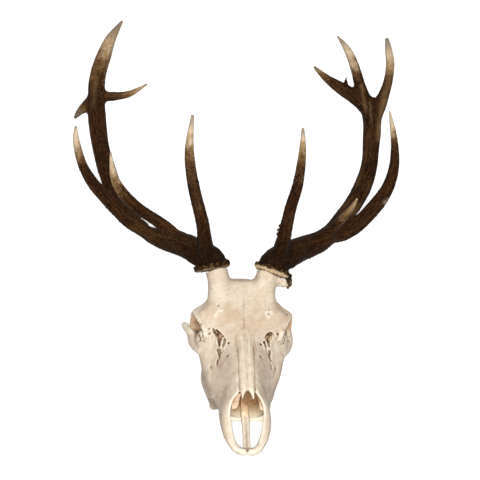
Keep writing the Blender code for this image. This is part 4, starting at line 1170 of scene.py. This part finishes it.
# A paint is a screen colour, or a source, its range there and two paints that it blends.
# A coat is the mark it keeps to (or none), its share, and its paint. The share is a number,
# or a source, its range there, and the shares at both ends of that range.
BONE = ("broad", 0.4, 0.6, (209, 195, 175), (202, 185, 166))
# Paints of the nose walls: tan near the front, and brown deeper in as painted shade
PALE_WALL = ("fibre", 0.4, 0.6, (236, 216, 184), (220, 188, 146))
DEEP_WALL_SHADE = ("patch", 0.35, 0.65, (192, 154, 112), (146, 102, 62))
BONE_COATS = [
    ("", ("patch", 0.45, 0.68, 0.0, 0.7), (190, 168, 142)),
    ("", ("blotch", 0.52, 0.72, 0.0, 0.4), (182, 157, 130)),
    ("", ("blotch", 0.46, 0.3, 0.0, 0.45), (226, 213, 192)),
    ("", ("fibre", 0.5, 0.72, 0.0, 0.5), (174, 148, 118)),
    # painted shade in broad dells and painted highlight on broad swells
    ("", ("dell_shading", 0.56, 0.8, 0.0, 0.7), (162, 135, 108)),
    ("", ("dell_shading", 0.44, 0.2, 0.0, 0.45), (226, 214, 194)),
    ("", ("fine", 0.62, 0.8, 0.0, 0.15), (156, 130, 102)),
    # painted shade, greyer and blotchy, on the sides and lower face of the snout
    ("side_shade", ("patch", 0.3, 0.6, 0.5, 0.95), (178, 160, 143)),
    ("side_shade", ("blotch", 0.48, 0.7, 0.0, 0.6), (148, 127, 111)),
    ("warm", ("blotch", 0.3, 0.65, 0.3, 0.8), (190, 164, 136)),
    ("shaded", ("fibre", 0.3, 0.6, 0.2, 0.5), (150, 126, 98)),
    ("pearl", ("fine", 0.3, 0.7, 0.7, 0.3), (236, 228, 214)),
    # painted shade in hollows and creases, and painted highlight on crests
    ("", ("hollow", 0.55, 0.85, 0.0, 0.95), (96, 66, 42)),
    ("", ("hollow", 0.46, 0.3, 0.0, 0.5), (230, 218, 198)),
    ("seam", ("fine", 0.3, 0.6, 0.4, 0.9), (96, 70, 52)),
    # painted shade inside the nose and on its curled plates
    ("nose_shading", 1.0, ("deep_shade", PALE_WALL, DEEP_WALL_SHADE)),
    # painted shade deep in the eye sockets, and tan on the forward faces of the orbit bar
    ("orbit", ("blotch", 0.3, 0.7, 0.85, 0.5), (172, 132, 92)),
    # painted shade in the recess by the orbit bar
    ("recess_shade", ("blotch", 0.35, 0.6, 0.9, 0.55), (98, 72, 50)),
    # painted shade inside the gaps in front of the eyes
    ("gap_shade", 1.0, ("rubble", 0.45, 0.56, (70, 44, 28), (186, 152, 118))),
    # painted highlight on the lit outer wall of the gaps
    ("slope", 0.92, ("fine", 0.4, 0.6, (216, 190, 154), (184, 150, 114))),
    # painted shade of creases, as brown spots
    ("crevice_shade", ("fine", 0.35, 0.6, 0.25, 0.95), (96, 70, 48)),
    # painted highlight on the front of the palate
    ("sill_highlight", 1.0, (240, 227, 203)),
    ("splint", 1.0, ("fine", 0.46, 0.62, (204, 178, 150), (140, 104, 76))),
    # painted shade on faces turned away from the light above
    ("edge", 0.6, (122, 103, 84)),
    ("tip", 0.8, (180, 176, 158)),
    ("crust", ("fine", 0.3, 0.6, 0.4, 0.95), (120, 106, 92)),
    # painted shade in the small holes
    ("pit", 1.0, (60, 38, 24)),
    ("teeth", 1.0, ("patch", 0.4, 0.6, (184, 170, 150), (140, 124, 104))),
]
BARK = ("broad", 0.35, 0.65, (21, 9, 3), (34, 18, 7))
BARK_COATS = [
    ("", ("streak", 0.55, 0.95, 0.0, 0.5), (54, 28, 10)),
    ("", ("furrow", 0.5, 0.66, 0.0, 0.6), (70, 43, 20)),
    ("", ("speck", 0.52, 0.66, 0.0, 0.6), (98, 63, 33)),
    ("", ("fine", 0.5, 0.64, 0.0, 0.55), (88, 54, 27)),
    ("", ("lines", 0.0, 0.05, 0.75, 0.0), (10, 4, 1)),
    ("olive", ("furrow", 0.42, 0.66, 0.1, 0.8), (92, 68, 34)),
    ("stripe", ("fibre", 0.3, 0.62, 0.3, 0.95), (126, 98, 66)),
    ("", ("base", 0.25, 1.0, 0.0, 0.7), (20, 9, 4)),
    ("bead", ("fine", 0.45, 0.62, 0.0, 0.55), (88, 62, 38)),
]
AMBER = ("gold", 0.1, 0.55, (50, 30, 14), (94, 68, 40))
AMBER_COATS = [
    ("", ("gold", 0.5, 1.0, 0.0, 1.0), (152, 121, 82)),
    ("", ("fibre", 0.42, 0.66, 0.0, 0.7), (70, 45, 24)),
    ("", ("furrow", 0.46, 0.62, 0.0, 0.7), (66, 43, 22)),
    ("", ("fine", 0.5, 0.7, 0.0, 0.4), (160, 126, 84)),
]
IVORY = ("fibre", 0.35, 0.7, (208, 190, 164), (168, 144, 112))
IVORY_COATS = [
    ("", ("blotch", 0.42, 0.66, 0.0, 0.6), (180, 156, 120)),
    ("dusk", 1.0, ("fine", 0.4, 0.6, (164, 150, 132), (126, 112, 94))),
]
LAST_COATS = [
    ("ashen", 1.0, ("fibre", 0.4, 0.6, (112, 101, 84), (72, 60, 46))),
    # painted shade in hollows
    ("", ("hollow", 0.54, 0.85, 0.0, 0.75), (18, 10, 6)),
    # painted highlight on the crests of the burr
    ("burr", ("hollow", 0.42, 0.15, 0.0, 0.65), (98, 70, 40)),
    # painted shade on faces turned away from the light above
    ("edge", 0.6, ("gold", 0.0, 0.6, (12, 5, 2), (88, 68, 46))),
    ("collar", 0.9, ("fine", 0.4, 0.62, (206, 186, 152), (170, 142, 104))),
    ("scar", 1.0, (160, 142, 120)),
]
# Fine relief: source, strength, and height in metres
BONE_BUMPS = [("fibre", 0.3, 0.0008), ("fine", 0.4, 0.0006), ("grain", 0.25, 0.0002)]
ANTLER_BUMPS = [("furrow", 0.4, 0.0012), ("fibre", 0.4, 0.0006), ("grain", 0.25, 0.0003)]
WHITE = (1.0, 1.0, 1.0, 1.0)


def tone(r, g, b):
    """Linear colour of an 8-bit screen colour."""
    out = []
    for v in (r, g, b):
        v /= 255.0
        out.append(v / 12.92 if v <= 0.04045 else ((v + 0.055) / 1.055) ** 2.4)
    return tuple(out)


class Kit:
    """Nodes of one material, with its noises and marks as named sources."""

    def __init__(self, name, noises):
        self.material = bpy.data.materials.new(name)
        self.material.use_nodes = True
        self.tree = self.material.node_tree
        self.inputs = self.tree.nodes["Principled BSDF"].inputs
        self.found = {key: self.noise(*row) for key, row in noises.items()}

    def add(self, kind, inputs=(), **values):
        node = self.tree.nodes.new(kind)
        for key, value in values.items():
            setattr(node, key, value)
        for key, value in dict(inputs).items():
            self.put(node.inputs[key], value)
        return node

    def put(self, socket, value):
        if hasattr(value, "links"):
            self.tree.links.new(value, socket)
        elif isinstance(value, tuple):
            socket.default_value = (*value, 1.0)[:4]
        else:
            socket.default_value = value

    def noise(self, scale, detail, rough, along):
        if along:
            place = self.add("ShaderNodeAttribute", attribute_name="lie").outputs["Vector"]
        else:
            place = self.add("ShaderNodeTexCoord").outputs["Object"]
        inputs = {"Scale": scale, "Detail": detail, "Roughness": rough, "Vector": place}
        return self.add("ShaderNodeTexNoise", inputs).outputs["Fac"]

    def read(self, name):
        """A noise, or else the mark of that name."""
        if name not in self.found:
            self.found[name] = self.add("ShaderNodeAttribute", attribute_name=name).outputs["Fac"]
        return self.found[name]

    def span(self, name, low, high, out_low=0.0, out_high=1.0):
        value = self.read(name) if isinstance(name, str) else name
        inputs = {"Value": value, "From Min": low, "From Max": high, "To Min": out_low, "To Max": out_high}
        return self.add("ShaderNodeMapRange", inputs, interpolation_type="SMOOTHSTEP").outputs["Result"]

    def maths(self, operation, a, b):
        return self.add("ShaderNodeMath", {0: a, 1: b}, operation=operation).outputs[0]

    def mix(self, factor, a, b):
        return self.add("ShaderNodeMix", {0: factor, 6: a, 7: b}, data_type="RGBA").outputs[2]

    def paint(self, what):
        if not isinstance(what[0], str):
            return tone(*what)
        source, *limits, first, second = what
        factor = self.span(source, *limits) if limits else self.read(source)
        return self.mix(factor, self.paint(first), self.paint(second))

    def coated(self, first, coats):
        """A paint with coats laid over it in turn."""
        colour = self.paint(first) if isinstance(first, tuple) else first
        for where, share, what in coats:
            if isinstance(share, tuple):
                share = self.span(*share)
            factor = self.maths("MULTIPLY", self.read(where), share) if where else share
            colour = self.mix(factor, colour, self.paint(what))
        return colour

    def finished(self, colour, roughness, bumps):
        self.put(self.inputs["Base Color"], colour)
        self.put(self.inputs["Roughness"], roughness)
        before = None
        for source, strength, distance in bumps:
            inputs = {"Strength": strength, "Distance": distance, "Height": self.read(source)}
            if before is not None:
                inputs["Normal"] = before
            before = self.add("ShaderNodeBump", inputs).outputs["Normal"]
        if before is not None:
            self.put(self.inputs["Normal"], before)
        return self.material


def bone_material():
    kit = Kit("dry_bone", BONE_NOISES)
    coarse = kit.maths("MULTIPLY", kit.read("blotch"), 0.6)
    kit.found["rubble"] = kit.maths("ADD", coarse, kit.maths("MULTIPLY", kit.read("fine"), 0.4))
    kit.inputs["Specular IOR Level"].default_value = 0.2
    return kit.finished(kit.coated(BONE, BONE_COATS), kit.span("patch", 0.3, 0.7, 0.5, 0.72), BONE_BUMPS)


def antler_material():
    kit = Kit("antler", ANTLER_NOISES)
    gold, ivory, fibre = (kit.read(name) for name in ("gold", "ivory", "fibre"))
    kit.found["lines"] = kit.maths("ABSOLUTE", kit.maths("SUBTRACT", fibre, 0.5), 0.0)
    kit.found["ashen"] = kit.maths("MULTIPLY", kit.read("dusk"), kit.maths("SUBTRACT", 1.0, ivory))
    body = kit.coated(BARK, BARK_COATS)
    # ragged and feathered ends of the golden and the pale part of a tine
    ragged_end = kit.maths("MULTIPLY", kit.maths("SUBTRACT", kit.read("furrow"), 0.5), 0.7)
    both = kit.maths("ADD", fibre, kit.read("fine"))
    feather = kit.maths("MULTIPLY", kit.maths("SUBTRACT", both, 1.0), 1.7)
    for part, paint, limits, foot in (
        (gold, kit.coated(AMBER, AMBER_COATS), (0.0, 0.6), (0.01, 0.25)),
        (ivory, kit.coated(IVORY, IVORY_COATS), (0.15, 0.95), (0.02, 0.2)),
    ):
        end = kit.maths("ADD", kit.maths("ADD", part, ragged_end), feather)
        share = kit.maths("MULTIPLY", kit.span(end, *limits), kit.span(part, *foot))
        body = kit.mix(share, body, paint)
    kit.inputs["IOR"].default_value = 1.15
    kit.inputs["Specular IOR Level"].default_value = 0.3
    return kit.finished(kit.coated(body, LAST_COATS), kit.span("gold", 0.0, 1.0, 0.65, 0.45), ANTLER_BUMPS)


def floor_material():
    kit = Kit("pale_floor", {"cloud": (2.0, 4.0, 0.55, False)})
    kit.inputs["Emission Color"].default_value = WHITE
    kit.inputs["Emission Strength"].default_value = 0.3
    return kit.finished(kit.mix(kit.read("cloud"), (0.93, 0.93, 0.93), (0.95, 0.95, 0.95)), 0.9, [])


# ---------------------------------------------------------------- scene
# Lights of the row frame, in metres: name, place, size and power
LIGHTS = [
    ("key", (-0.18, -0.021, 2.22), 0.16, 36.0), ("soft_key", (-0.18, -0.021, 2.24), 1.1, 14.0),
    ("fill", (0.2, 0.4, 2.3), 1.2, 6.0),
]
LIGHT_AIM = (0.0, 0.0, 0.1)
SKY_STRENGTH = 0.26
# Camera of the rest frame: place in mm, and the directions of its axes
CAMERA_SPOT = (-193.79, 358.8, 2171.13)
CAMERA_RIGHT = (0.99488, 0.04383, 0.09107)
CAMERA_UP = (-0.04365, 0.99904, -0.00398)
CAMERA_BACK = (-0.09116, -2e-05, 0.99584)
SENSOR = 36.0
LENS = 86.79


def settle(obj):
    """Row frame, in metres, with smooth faces."""
    co = (points_of(obj) - CENTRE) * MM
    co[:, 2] = np.maximum(co[:, 2], 0.0)
    put_points(obj, co)
    obj.data.polygons.foreach_set("use_smooth", np.ones(len(obj.data.polygons), bool))
    obj.data.update()


def place_piece(obj, material, nodes):
    obj.data.materials.clear()
    obj.data.materials.append(material)
    settle(obj)
    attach(obj, "root")
    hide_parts(*nodes)


def area_light(name, spot, size, power):
    light = bpy.data.lights.new(name, "AREA")
    light.shape = "DISK"
    light.size = size
    light.energy = power
    obj = link(bpy.data.objects.new(name, light))
    obj.location = spot
    obj.rotation_euler = (Vector(LIGHT_AIM) - Vector(spot)).to_track_quat("-Z", "Y").to_euler()


def studio():
    bpy.ops.mesh.primitive_plane_add(size=12.0, location=(0.0, 0.0, 0.0))
    floor = bpy.context.object
    floor.name = "floor"
    floor.data.materials.append(floor_material())
    world = bpy.data.worlds.new("studio")
    bpy.context.scene.world = world
    world.use_nodes = True
    sky = world.node_tree.nodes["Background"].inputs
    sky["Color"].default_value = WHITE
    sky["Strength"].default_value = SKY_STRENGTH
    for row in LIGHTS:
        area_light(*row)
    bpy.context.scene.view_settings.view_transform = "Standard"


def camera():
    data = bpy.data.cameras.new("camera")
    data.sensor_width = SENSOR
    data.lens = LENS
    data.clip_end = 100.0
    obj = link(bpy.data.objects.new("camera", data))
    turn = Matrix((CAMERA_RIGHT, CAMERA_UP, CAMERA_BACK)).transposed()
    spot = (np.array(CAMERA_SPOT) - CENTRE) * MM
    obj.matrix_world = Matrix.Translation(spot) @ turn.to_4x4()
    bpy.context.scene.camera = obj


def main():
    camera()
    studio()
    skull, uncut = skull_body()
    co, edges = shaped_skull(skull)
    skull_marks(skull, co, edges, uncut)
    bones = [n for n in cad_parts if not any(w in n for w in ("beam", "tine", "crown", "burr"))]
    place_piece(skull, bone_material(), bones)
    horn = antler_material()
    for side in SIDES:
        antler, names = antler_body(side)
        shaped_antler(antler, side, names)
        nodes = [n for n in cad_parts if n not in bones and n.endswith(side)]
        place_piece(antler, horn, nodes)


main()
